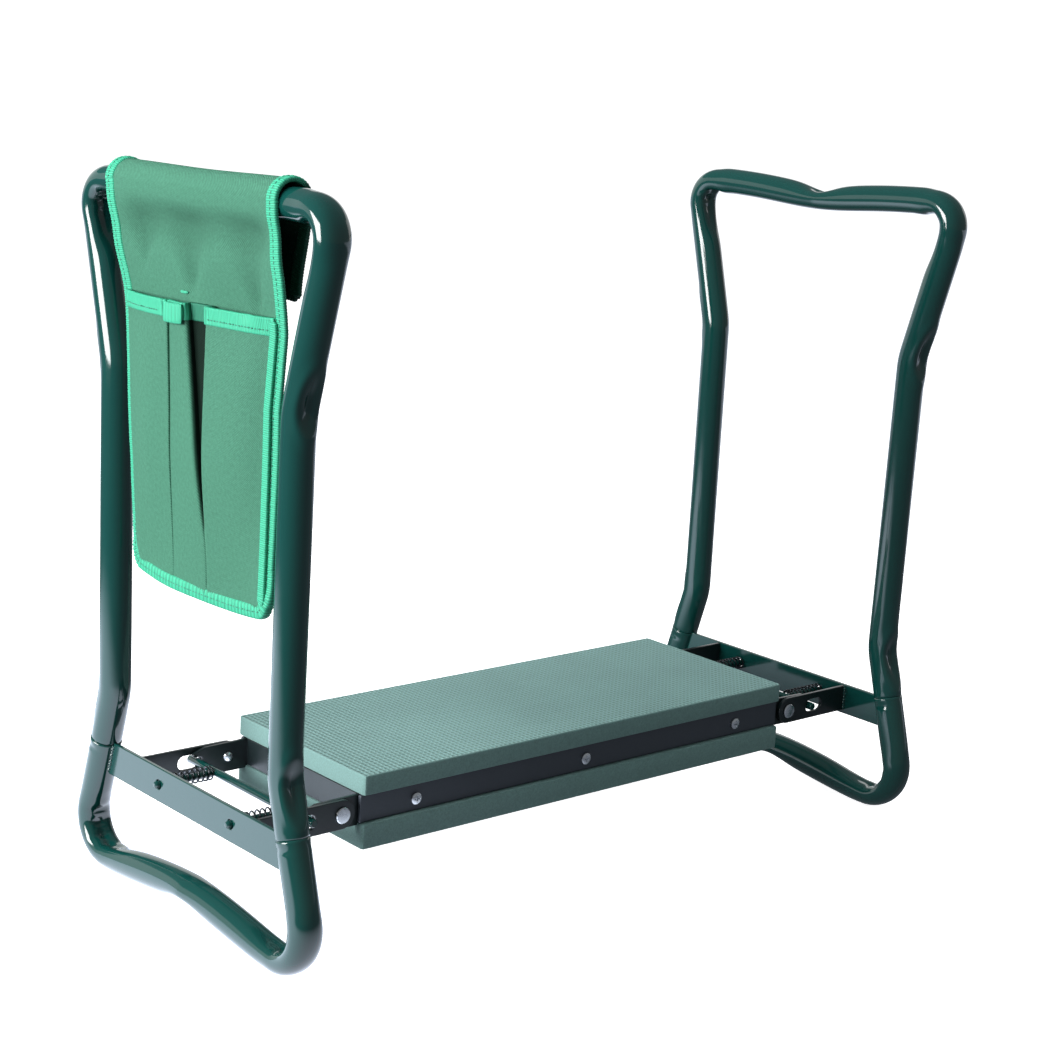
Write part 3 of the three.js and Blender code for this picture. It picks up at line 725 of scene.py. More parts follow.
def arm_plate(side, sign, end, way, locks):
    """A swing arm: round at the pivot, square at the crossbar, with a slot for the lock rod."""
    z, pivot = locks.height, locks.pivot
    body = box_outline(ARM_END, pivot - 0.0102, z - ARM_HALF_HEIGHT, z + ARM_HALF_HEIGHT, (0.0010, 0.0100))
    slot = box_outline(SLOT_ENDS[1], SLOT_ENDS[0], z - SLOT_HALF_HEIGHT, z + SLOT_HALF_HEIGHT, (0.005, 0.005))
    loops = [body, circle(pivot, z, 0.0028), slot]
    for loop in loops:
        loop[:, 0] *= sign
    faces = sorted(way * face for face in ARM_FACES)
    arm = plate(f"{side}_arm_plate_{end}", loops, *faces, upright, 0.0005)
    finish_piece(arm, "Plate", f"{side}_leg", [f"{side}_arm_{end}"])


# Hinges and locks


EAR_FACES = (0.0652, 0.0681)
WEB_FACES = (0.1972, 0.2002)
ROD_HALF_LENGTH, ROD_RADIUS = 0.0752, 0.0030
PIN_TIP, PIN_RADIUS = 0.2890, 0.0026


class OBJECT_OT_end_brackets(bpy.types.Operator):
    """Adds the bracket across each end of the seat, whose ears hook over the lock rod"""

    bl_idname = "kneeler.end_brackets"
    bl_label = "End brackets"

    def execute(self, context):
        locks = context.scene.kneeler_locks
        z = locks.height
        ear = [
            (0.1975, z - 0.0110, 0.0010), (0.2205, z - 0.0112, 0.008), (0.2330, z - 0.0035, 0.004),
            (0.2368, z - 0.0030, 0.001), (0.2368, z + 0.0038, 0.0025), (0.2435, z + 0.0038, 0.0012),
            (0.2452, z + 0.0062, 0.0016), (0.2350, z + 0.0098, 0.004), (0.1975, z + 0.0106, 0.0010),
        ]
        for side, sign in SIDES:
            parts = []
            for end, way in ENDS:
                loops = [outline(ear), circle(locks.pivot, z, 0.0029)]
                for loop in loops:
                    loop[:, 0] *= sign
                faces = sorted(way * face for face in EAR_FACES)
                parts.append(plate(f"{side}_ear_{end}", loops, *faces, upright, 0.0005))
            web = box_outline(-0.0660, 0.0660, z - 0.0088, z + 0.0104, (0.001, 0.001))
            faces = sorted(sign * face for face in WEB_FACES)
            parts.append(plate(f"{side}_web", [web], *faces, crosswise, 0.0005))
            bracket = merge(parts, f"{side}_bracket")
            finish_piece(bracket, "Plate", "seat", [f"{side}_end_bracket"])
        return {"FINISHED"}


def merge(parts, name):
    """Several closed shells as one mesh."""
    work = bmesh.new()
    for part in parts:
        work.from_mesh(part.data)
    mesh = parts[0].data
    work.to_mesh(mesh)
    work.free()
    mesh.name = name
    parts[0].name = name
    for part in parts[1:]:
        spare = part.data
        bpy.data.objects.remove(part)
        bpy.data.meshes.remove(spare)
    return parts[0]


class OBJECT_OT_rivets(bpy.types.Operator):
    """Adds the four pivot rivets and the six rail screws"""

    bl_idname = "kneeler.rivets"
    bl_label = "Rivets and screws"

    def execute(self, context):
        locks, seat = context.scene.kneeler_locks, context.scene.kneeler_seat
        rivet_profile = [
            (0, 0.0632), (0.0012, 0.0632), (0.0024, 0.0636), (0.0033, 0.0643), (0.0036, 0.0652),
            (0.0026, 0.0652), (0.0026, 0.0716), (0.0053, 0.0716), (0.0056, 0.0720), (0.0056, 0.0727),
            (0.0051, 0.0733), (0.0030, 0.0735), (0, 0.0735),
        ]
        for side, sign in SIDES:
            centre = (sign * locks.pivot, 0, locks.height)
            for end, way in ENDS:
                rivet = lathe(f"{side}_rivet_{end}", [(r, way * h) for r, h in rivet_profile], "y", centre)
                finish_piece(rivet, "Zinc", "seat", [f"{side}_pivot_rivet_{end}"])
        for end, way in ENDS:
            for step, place in enumerate(("left", "middle", "right")):
                x = (step - 1) * seat.screw_spacing
                screw = rail_screw(f"screw_{end}_{place}", x, way, locks.height)
                finish_piece(screw, "Zinc", "seat", [f"rail_screw_{end}_{place}"])
        return {"FINISHED"}


def rail_screw(name, x, way, z):
    """A pan head as a height over rings of radius: a low dome, with two crossed grooves sunk in it
    whose walls slope to the middle, then a straight edge and a shank."""
    rim = [0.0038, 0.0041, 0.0042, 0.0042, 0.0019, 0.0019, 0.0006]
    r = np.concatenate([np.linspace(0.00012, 0.0034, 22), rim])
    t = np.linspace(0, 2 * math.pi, 72, endpoint=False)
    rr, tt = np.meshgrid(r, t, indexing="ij")
    height = 0.0717 + 0.0021 * np.sqrt(np.clip(1 - (rr / 0.0050) ** 2, 0, 1))
    groove = np.minimum(np.abs(rr * np.cos(tt)), np.abs(rr * np.sin(tt)))
    reach = 1 - smooth_step((rr - 0.0018) / 0.0006)
    height -= 0.0013 * reach * (1 - smooth_step((groove - 0.00028) / 0.0003))
    for row, fixed in ((-4, 0.0717), (-3, 0.0716), (-2, 0.0632), (-1, 0.0625)):
        height[row] = fixed
    points = np.stack([x + rr * np.cos(tt), way * height, z + rr * np.sin(tt)], -1)
    return ring_stack(name, points, 35)


class OBJECT_OT_locks(bpy.types.Operator):
    """Adds the lock rods, their guide pins and the four coil springs"""

    bl_idname = "kneeler.locks"
    bl_label = "Locks"

    def execute(self, context):
        locks = context.scene.kneeler_locks
        z, pin_z = locks.height, locks.height - 0.001
        start = locks.rod + 0.002
        rod_end = [(ROD_RADIUS, 0.0740), (0.0028, 0.0747), (0.0022, ROD_HALF_LENGTH), (0, ROD_HALF_LENGTH)]
        rod_profile = [(r, -h) for r, h in reversed(rod_end)] + rod_end
        pin_profile = [
            (0, start), (0.0024, start), (PIN_RADIUS, start + 0.0004), (PIN_RADIUS, PIN_TIP - 0.0022),
            (0.0023, PIN_TIP - 0.0012), (0.0014, PIN_TIP - 0.0003), (0, PIN_TIP),
        ]
        for side, sign in SIDES:
            lock, leg = f"{side}_lock", f"{side}_leg"
            rod = lathe(f"{side}_rod", rod_profile, "y", (sign * locks.rod, 0, z))
            finish_piece(rod, "Enamel", lock, [f"{side}_lock_rod"])
            for end, way in ENDS:
                y = way * locks.pins
                pin = lathe(f"{side}_pin_{end}", [(r, sign * h) for r, h in pin_profile], "x", (0, y, pin_z))
                finish_piece(pin, "Enamel", lock, [f"{side}_guide_pin_{end}"])
                spring = coil(f"{side}_spring_{end}", sign, y, pin_z, locks)
                finish_piece(spring, "SpringWire", leg, [f"{side}_lock_spring_{end}"])
                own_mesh(spring)
        return {"FINISHED"}


def coil(name, sign, y, z, locks):
    """A helix whose rise per turn falls to the wire's thickness over the first and last turn."""
    t = np.linspace(0, 1, locks.turns * 30 + 1)
    rise = 0.35 + smooth_step(t * locks.turns / 1.4) * smooth_step((1 - t) * locks.turns / 1.4)
    x = np.concatenate([[0], np.cumsum((rise[1:] + rise[:-1]) / 2)])
    start, end = locks.rod + ROD_RADIUS + locks.wire, BAR_FACES[0] - locks.wire
    x = start + (end - start) * x / x[-1]
    turn = 2 * math.pi * locks.turns * t + (1.1 if y > 0 else 0.2)
    around, up = locks.coil * np.cos(turn), locks.coil * np.sin(turn)
    line = np.stack([sign * x, y + around, z + 0.0006 + up], 1)
    hint = np.stack([np.zeros_like(t), np.cos(turn), np.sin(turn)], 1)
    size = np.maximum(locks.wire * strip_ends(len(t), 3), locks.wire * 0.1)
    return ring_stack(name, wire_rings(line, hint, size, 10))


# Seat


# Heights of each pad's outer and inner faces
PAD_FACES = {"upper": (0.1070, 0.0931), "lower": (0.0553, 0.0728)}
RAIL_FACES = (0.0685, 0.0715)
RAIL_BOX = (-0.2015, 0.2015, 0.0733, 0.0926)


def slab_edge(xs, inset, sizes):
    """The pads' outline as one ring of points, drawn in by an inset: a rectangle with round corners."""
    a, b, r = sizes.half_length - inset, sizes.half_width - inset, max(sizes.corner - inset, 0.0005)
    x = xs / sizes.half_length * a
    over = np.clip((np.abs(x) - (a - r)) / r, 0, 1)
    half = b - r + r * np.sqrt(1 - over**2)
    return x, half


class OBJECT_OT_pads(bpy.types.Operator):
    """Adds the two foam pads, with rows of small pits pressed into their outer faces"""

    bl_idname = "kneeler.pads"
    bl_label = "Pads"

    def execute(self, context):
        sizes = context.scene.kneeler_seat
        for name, (outer, inner) in PAD_FACES.items():
            slab = foam_slab(f"{name}_foam_pad", outer, inner, sizes)
            slab.data.materials.append(finishes()["Foam"])
            slab.data.materials.append(finishes()["FoamGrain"])
            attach(slab, "seat")
            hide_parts(f"{name}_pad")
        return {"FINISHED"}


def grain_pits(count_x, count_y):
    """Depth from 0 to 1 of the pressed pits, four steps to a pit each way: the product of two
    raised cosines, so that low ridges stay between the pits."""
    u = np.arange(4 * count_x + 1) / 4
    v = np.arange(4 * count_y + 1) / 4
    wave_u, wave_v = (0.5 - 0.5 * np.cos(2 * math.pi * k) for k in (u, v))
    return (wave_v[:, None] * wave_u[None, :]) ** 1.1


def foam_slab(name, outer, inner, sizes):
    """A slab whose outer face is a grid with rows of pits pressed in. Rings round the outline roll
    the face over into the upright sides and under the other face."""
    counts = [round(2 * half / sizes.grain) for half in (sizes.half_length, sizes.half_width)]
    pits = grain_pits(*counts)
    rows, columns = pits.shape[0] - 1, pits.shape[1] - 1
    grow = 1 if outer > inner else -1
    xs = np.linspace(-sizes.half_length, sizes.half_length, columns + 1)
    vs = np.linspace(-1, 1, rows + 1)
    x, half = slab_edge(xs, 0.0009, sizes)
    gx = np.broadcast_to(x[None, :], (rows + 1, columns + 1))
    gy = vs[:, None] * half[None, :]
    top = np.stack([gx, gy, outer - grow * sizes.grain_height * pits], -1).reshape(-1, 3)
    count = len(top)
    edge = np.concatenate([
        np.arange(columns + 1), (np.arange(1, rows + 1)) * (columns + 1) + columns,
        rows * (columns + 1) + np.arange(columns - 1, -1, -1), np.arange(rows - 1, 0, -1) * (columns + 1),
    ])
    total, depth = count, abs(outer - inner)
    rolls = [(0.0004, 0.0002), (0.0001, 0.0006), (0.0, 0.0014), (0.0, depth * 0.5), (0.0, depth - 0.0010)]
    rolls += [(0.0004, depth - 0.0002), (0.0010, depth)]
    before, points, quads = edge, [top], [grid_quads(rows + 1, columns + 1)]
    place_x = top[edge, 0]
    for inset, down in rolls:
        xi, hi = slab_edge(xs, inset, sizes)
        ring = top[edge]
        ring[:, 0] = np.interp(place_x, x, xi)
        ring[:, 1] *= np.interp(place_x, x, hi / half)
        ring[:, 2] = outer - grow * down
        points.append(ring)
        numbers = total + np.arange(len(ring))
        total += len(ring)
        quads.append(np.stack([before, np.roll(before, -1), np.roll(numbers, -1), numbers], 1))
        before = numbers
    points.append(np.array([[0, 0, inner]]))
    fan = np.stack([before, np.roll(before, -1), np.full(len(before), total)], 1)
    quads = np.concatenate(quads)
    slab = mesh_piece(name, np.concatenate(points), quads, fan, 35)
    # The grain mark is 1 on the face and 0 at a pit's bottom; the pitted face's finish darkens the pits by it
    # as painted shade.
    grain = slab.data.attributes.new("grain", "FLOAT", "POINT")
    level = np.concatenate([1 - pits.ravel(), np.ones(total + 1 - count)]).astype(np.float32)
    grain.data.foreach_set("value", level)
    number = np.zeros(len(quads) + len(fan), np.int32)
    number[: rows * columns] = 1
    slab.data.polygons.foreach_set("material_index", number)
    return face_outwards(slab)


class OBJECT_OT_rails(bpy.types.Operator):
    """Adds the two side rails and paints the board between the pads"""

    bl_idname = "kneeler.rails"
    bl_label = "Rails"

    def execute(self, context):
        z, spacing = context.scene.kneeler_locks.height, context.scene.kneeler_seat.screw_spacing
        for end, way in ENDS:
            bar = box_outline(*RAIL_BOX, (0.0012, 0.0012))
            holes = [circle(step * spacing, z, 0.0022) for step in (-1, 0, 1)]
            faces = sorted(way * face for face in RAIL_FACES)
            rail = plate(f"rail_{end}", [bar, *holes], *faces, upright, 0.0007)
            finish_piece(rail, "Rail", "seat", [f"side_rail_{end}"])
        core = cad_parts["seat_core"]
        core.data.materials.clear()
        core.data.materials.append(finishes()["Core"])
        return {"FINISHED"}


# Pouch


# Half-widths of the hanging panel at these heights, on its far and its near side
EDGE_HEIGHTS = (0.2240, 0.237, 0.275, 0.300, 0.359, 0.407, 0.439, 0.470, 0.492)
EDGE_FAR = (0.0750, 0.0755, 0.0780, 0.0790, 0.0855, 0.0920, 0.0955, 0.0990, 0.1015)
EDGE_NEAR = (0.0860, 0.0865, 0.0870, 0.0870, 0.0880, 0.0945, 0.0960, 0.0930, 0.0920)
# The panel's width at this height is kept over the bar and down the rear flap
TOP_EDGE = 0.488
# From the bar's paint to the middle of the cloth
CLOTH_GAP = 0.0016
# Where the rear flap ends, along the seat and in height
FLAP_X, FLAP_EDGE = -0.2700, 0.4300
POCKET_FOOT = 0.2275
# How steeply the pocket's mouth rises towards the near side
MOUTH_SLOPE = 0.024
# How far the hanging cloth comes out to meet the bar's face
LEAN_OUT = 0.0101
TAPE_SIDES, RIB_PITCH, RIB_DEPTH = 16, 0.0021, 0.10
STITCH_LENGTH, STITCH_PITCH, THREAD_RADIUS = 0.0021, 0.0032, 0.00042
TACK_HEIGHT = 0.4185
UP = (0.0, 0.0, 1.0)


def bar_centre(y, sizes):
    """Height of the middle of the cloth's turn over the bar: the cloth spans the bar's own dip, and
    stands up a little towards the near side, where the bar rises to its corner."""
    return sizes.bar_height + 0.0030 - 0.018 * y - 0.0010 * np.exp(-((y / 0.060) ** 2))


def panel_edge(z, side, pouch):
    """Half-width of the panel at a height, with the lower corners rounded by a quarter circle."""
    width = np.interp(z, EDGE_HEIGHTS, EDGE_FAR if side > 0 else EDGE_NEAR)
    below = np.clip((EDGE_HEIGHTS[0] + pouch.corner - z) / pouch.corner, 0, 1)
    return width - pouch.corner * (1 - np.sqrt(1 - below**2))


def hem_rise(y, z):
    """How far the panel's lower edge sweeps up towards its two corners."""
    return smooth_step((0.262 - z) / 0.04) * 0.0065 * np.clip(np.abs(y + 0.006) / 0.075, 0, 1) ** 2


def lean(z):
    """The cloth's way out from where it hangs to the bar's face, from 0 to 1."""
    return smooth_step((z - 0.400) / 0.070)


def cloth_dents(y, z):
    """Soft folds of the hanging cloth, as a distance outwards: a level hollow under the bar, three
    hollows below it that narrow downwards to a point, and a broad easy swell over the rest."""
    within = smooth_step((0.094 - np.abs(y)) / 0.03)
    dents = 0.0050 * (0.35 + 0.65 * within) * np.exp(-(((z - 0.460 + 0.05 * y) / 0.0120) ** 2))
    for middle, foot, depth in ((0.062, 0.436, 0.0045), (0.007, 0.424, 0.0058), (-0.062, 0.418, 0.0050)):
        rise = np.clip((z - foot) / (0.463 - foot), 0, 1.4)
        spread = 0.0055 + 0.0190 * rise**1.2
        shape = np.exp(-(((y - middle - 0.10 * (z - foot)) / spread) ** 2))
        fade = smooth_step((z - foot + 0.012) / 0.020) * smooth_step((0.478 - z) / 0.020)
        dents = dents + depth * shape * fade * within
    dents = dents * smooth_step((0.482 - z) / 0.014)
    swell = 0.0012 * np.sin(y * 52 + 0.6) * np.sin(z * 31 + 1.0)
    return -dents + swell * smooth_step((0.46 - z) / 0.05)


def panel_points(across, down, legs, pouch):
    """The pouch's panel as a surface. Across runs from -1 at the near edge to 1 at the far one. Down
    runs from 0 at the rear flap's edge over the bar at 1 to 2, and to the lower edge at 3."""
    reach = legs.radius + CLOTH_GAP
    x0 = -legs.plane
    front, turn, rear = np.clip(down - 2, 0, 1), np.clip(down - 1, 0, 1) * math.pi, np.clip(down, 0, 1)
    far = across > 0
    y_top = across * np.where(far, panel_edge(TOP_EDGE, 1, pouch), panel_edge(TOP_EDGE, -1, pouch))
    z_top = bar_centre(y_top, legs) + 0.0012
    z_front = z_top - (z_top - pouch.bottom) * front
    edge = np.where(far, panel_edge(z_front, 1, pouch), panel_edge(z_front, -1, pouch))
    y = np.where(down > 2, across * edge, y_top)
    x_front = -pouch.hang + (x0 - reach + pouch.hang) * lean(z_front) - cloth_dents(y, z_front)
    z_front = z_front + hem_rise(y, z_front)
    flap = FLAP_EDGE + 0.005 * across
    z_rear = flap + (z_top - flap) * rear
    y = np.where(down < 1, y * (1 - 0.155 * smooth_step(1 - rear) * (across < 0)), y)
    x_rear = FLAP_X + (x0 + reach - FLAP_X) * smooth_step(rear) + 0.0016 * np.sin(y * 60) * (1 - rear)
    x = np.where(down < 1, x_rear, np.where(down <= 2, x0 + reach * np.cos(turn), x_front))
    z = np.where(down < 1, z_rear, np.where(down <= 2, z_top + reach * np.sin(turn), z_front))
    return np.stack([x, y, z], -1)


def panel_rows(rear, over, front, lower):
    """Places down the panel: so many on the rear flap, over the bar and down the front, and the last
    ones at its lower edge, where they crowd together for the round corners."""
    return np.concatenate([
        np.linspace(0, 1, rear)[:-1],
        np.linspace(1, 2, over)[:-1],
        2 + 0.9 * np.linspace(0, 1, front)[:-1],
        2.9 + 0.1 * np.sin(np.linspace(0, math.pi / 2, lower)),
    ])


def surface_lengths(points):
    """Distances along a surface grid's rows from their middle and down its columns, for its map."""
    side = np.cumsum(np.linalg.norm(np.diff(points, axis=1), axis=2), 1)
    down = np.cumsum(np.linalg.norm(np.diff(points, axis=0), axis=2), 0)
    side = np.pad(side, ((0, 0), (1, 0)))
    return side - side[:, -1:] / 2, np.pad(down, ((1, 0), (0, 0)))


def shadow(piece, values):
    """Marks the parts of a cloth piece that lie in a fold or behind the leg, where the finish paints shade:
    the colour darkens by the mark.
    """
    layer = piece.data.attributes.new("shadow", "FLOAT", "POINT")
    layer.data.foreach_set("value", np.ravel(values).astype(np.float32))


def sewn(piece, finish):
    """Finishes a piece of the pouch, which hangs on the left leg."""
    finish_piece(piece, finish, "left_leg")
    return piece


def cloth_sheet(name, points, thickness, depth, finish):
    """A grid of points as cloth of a given thickness, darkened by painted shade by the depth of its folds."""
    sheet = mesh_piece(name, points.reshape(-1, 3), grid_quads(*points.shape[:2]))
    flat_map(sheet, *surface_lengths(points))
    shadow(sheet, depth)
    thicken(sheet, thickness)
    return sewn(sheet, finish)


def rounder(points, times):
    """Corner cutting along each row: every run keeps points at a quarter and three quarters."""
    for _ in range(times):
        a, b = points[:, :-1], points[:, 1:]
        mixed = np.stack([0.75 * a + 0.25 * b, 0.25 * a + 0.75 * b], 2)
        mixed = mixed.reshape(points.shape[0], -1, points.shape[2])
        points = np.concatenate([points[:, :1], mixed, points[:, -1:]], 1)
    return points


def pocket_share(z, pouch):
    """How far up the pocket a height lies: 0 at its foot and 1 at its mouth."""
    return (z - POCKET_FOOT) / (pouch.pocket_top - POCKET_FOOT)


def pocket_near_edge(z, share, pouch):
    """Where the pocket is sewn down beside the panel's near binding."""
    return -panel_edge(z, -1, pouch) + 0.0050 + 0.0028 * share


def pocket_section(z, pouch):
    """Where the pocket's front runs at given heights, as places across and distances off the panel:
    a flat pleat on the far side, and an open pleat by the middle that narrows to nothing at its foot.
    The third result tells how deep in the open pleat each place lies, from 0 to 1, and sets the painted shade
    there."""
    share = np.clip(pocket_share(z, pouch), 0, 1)
    stand = 0.0006 + pouch.bulge * smooth_step(share / 0.55)
    gape = np.clip((z - 0.264) / (pouch.pocket_top - 0.264), 0, 1)
    open_far = -0.0165 + 0.0205 * gape**0.9
    open_near = -0.0172 - 0.0013 * gape
    deep = stand * np.clip(1 - 3.5 * gape, 0.14, 1)
    far, near = panel_edge(z, 1, pouch) - 0.0055, pocket_near_edge(z, share, pouch)
    pleat = 0.0265 - 0.004 * (1 - share)
    tuck = 0.0022 * share + 0.0004
    flat_pleat = [
        (pleat + 0.003, stand), (pleat - 0.0006, stand), (pleat - 0.0004, stand - 0.45 * tuck),
        (pleat + 0.0032, stand - 0.75 * tuck), (pleat - 0.002, stand - 0.9 * tuck),
    ]
    open_pleat = [
        (open_far + 0.006, stand + 0.0006), (open_far + 0.0004, stand + 0.0008),
        (open_far + 0.0002, stand * 0.7), (open_far + 0.0016 * gape, deep),
        (open_near - 0.0016 * gape, deep), (open_near - 0.0002, stand * 0.7),
        (open_near - 0.0006, stand + 0.0008), (open_near - 0.006, stand + 0.0004),
    ]
    rows = [
        (far, 0.0008), (far - 0.004, 0.0016), (far - 0.018, stand * 0.75), (0.048, stand),
        *flat_pleat, *open_pleat,
        (-0.045, stand), (near + 0.018, stand * 0.8), (near + 0.004, 0.0016), (near, 0.0008),
    ]
    y, off = (np.stack([row[part] * np.ones_like(z) for row in rows], 1) for part in (0, 1))
    section = rounder(np.stack([y, off], -1), 3)
    y, off = section[..., 0], section[..., 1]
    open_far, open_near, stand, gape = (value[:, None] for value in (open_far, open_near, stand, gape))
    inside = smooth_step((open_far + 0.004 - y) / 0.002) * smooth_step((y - open_near + 0.003) / 0.002)
    sunk = smooth_step((0.92 * stand - off) / (0.25 * stand))
    return y, off, inside * sunk * smooth_step(gape / 0.03)


def pocket_points(z, legs, pouch):
    """The pocket's front as a surface: its section at each height, carried by the panel behind it and
    raised towards the near side."""
    y, off, _ = pocket_section(z, pouch)
    z = z[:, None]
    share = np.clip(pocket_share(z, pouch), 0, 1)
    back = -pouch.hang + (-legs.plane - legs.radius - CLOTH_GAP + pouch.hang) * lean(z)
    x = back - cloth_dents(y, z) - 0.0014 - off
    return np.stack([x, y, z + hem_rise(y, z) - MOUTH_SLOPE * y * share], -1)


def sample(places, far, values):
    """The values given at distances along a line, at other places along it."""
    return np.stack([np.interp(places, far, values[:, k]) for k in range(3)], 1)


def tape(name, line, inward, width, thickness, rib=RIB_DEPTH):
    """Folded binding carried along an edge: the section is a flat oval as wide as the tape, its ribs
    a ripple of the thickness along the run. Inward points across the tape, onto the cloth."""
    along = unit(np.gradient(line, axis=0))
    inward = unit(inward - (inward * along).sum(-1, keepdims=True) * along)
    normal = np.cross(along, inward)
    far = distances(line)
    angle = np.linspace(0, 2 * math.pi, TAPE_SIDES, endpoint=False)
    wide = np.sign(np.cos(angle)) * np.abs(np.cos(angle)) ** 0.55 * width / 2
    thick = np.sign(np.sin(angle)) * np.abs(np.sin(angle)) ** 0.45 / 2
    ripple = 1 + rib * np.sin(far * 2 * math.pi / RIB_PITCH)
    ends = np.maximum(strip_ends(len(line), 3), 0.2)
    out = wide * (ends * (1 + 0.15 * (ripple - 1)))[:, None]
    lift = thick * (thickness * ripple * ends)[:, None]
    rings = line[:, None] + out[..., None] * inward[:, None] + lift[..., None] * normal[:, None]
    piece = ring_stack(name, rings)
    across = np.concatenate([np.tile(wide, len(line)), [0, 0]])
    flat_map(piece, np.concatenate([np.repeat(far, TAPE_SIDES), [0, far[-1]]]), across)
    return piece


def stitches(name, line, normal, lift):
    """A row of short threads: one small rounded body, set down at even steps along a line."""
    far = distances(line)
    spots = np.arange(STITCH_PITCH, far[-1] - STITCH_PITCH, STITCH_PITCH)
    place = sample(spots, far, line)
    up = unit(sample(spots, far, normal))
    ahead = sample(spots + 0.0005, far, line) - place
    ahead = unit(ahead - (ahead * up).sum(-1, keepdims=True) * up)
    side = np.cross(up, ahead)
    place = place + up * lift
    angle = np.linspace(0, 2 * math.pi, 6, endpoint=False)[:, None]
    circle_round = np.cos(angle) * side[:, None] + 0.8 * np.sin(angle) * up[:, None]
    stations = (np.array([-0.5, -0.38, 0.38, 0.5]) * STITCH_LENGTH)[:, None, None]
    sizes = (np.array([0.35, 1, 1, 0.35]) * THREAD_RADIUS)[:, None, None]
    rings = place[:, None, None] + stations * ahead[:, None, None] + sizes * circle_round[:, None]
    body = grid_quads(4, 6, wrap_columns=True)
    caps = np.array([[0, i + 1, i] for i in range(1, 5)] + [[18, 18 + i, 19 + i] for i in range(1, 5)])
    first = np.arange(len(spots))[:, None, None] * 24
    quads, triangles = (body + first).reshape(-1, 4), (caps + first).reshape(-1, 3)
    return sewn(face_outwards(mesh_piece(name, rings.reshape(-1, 3), quads, triangles)), "Thread")


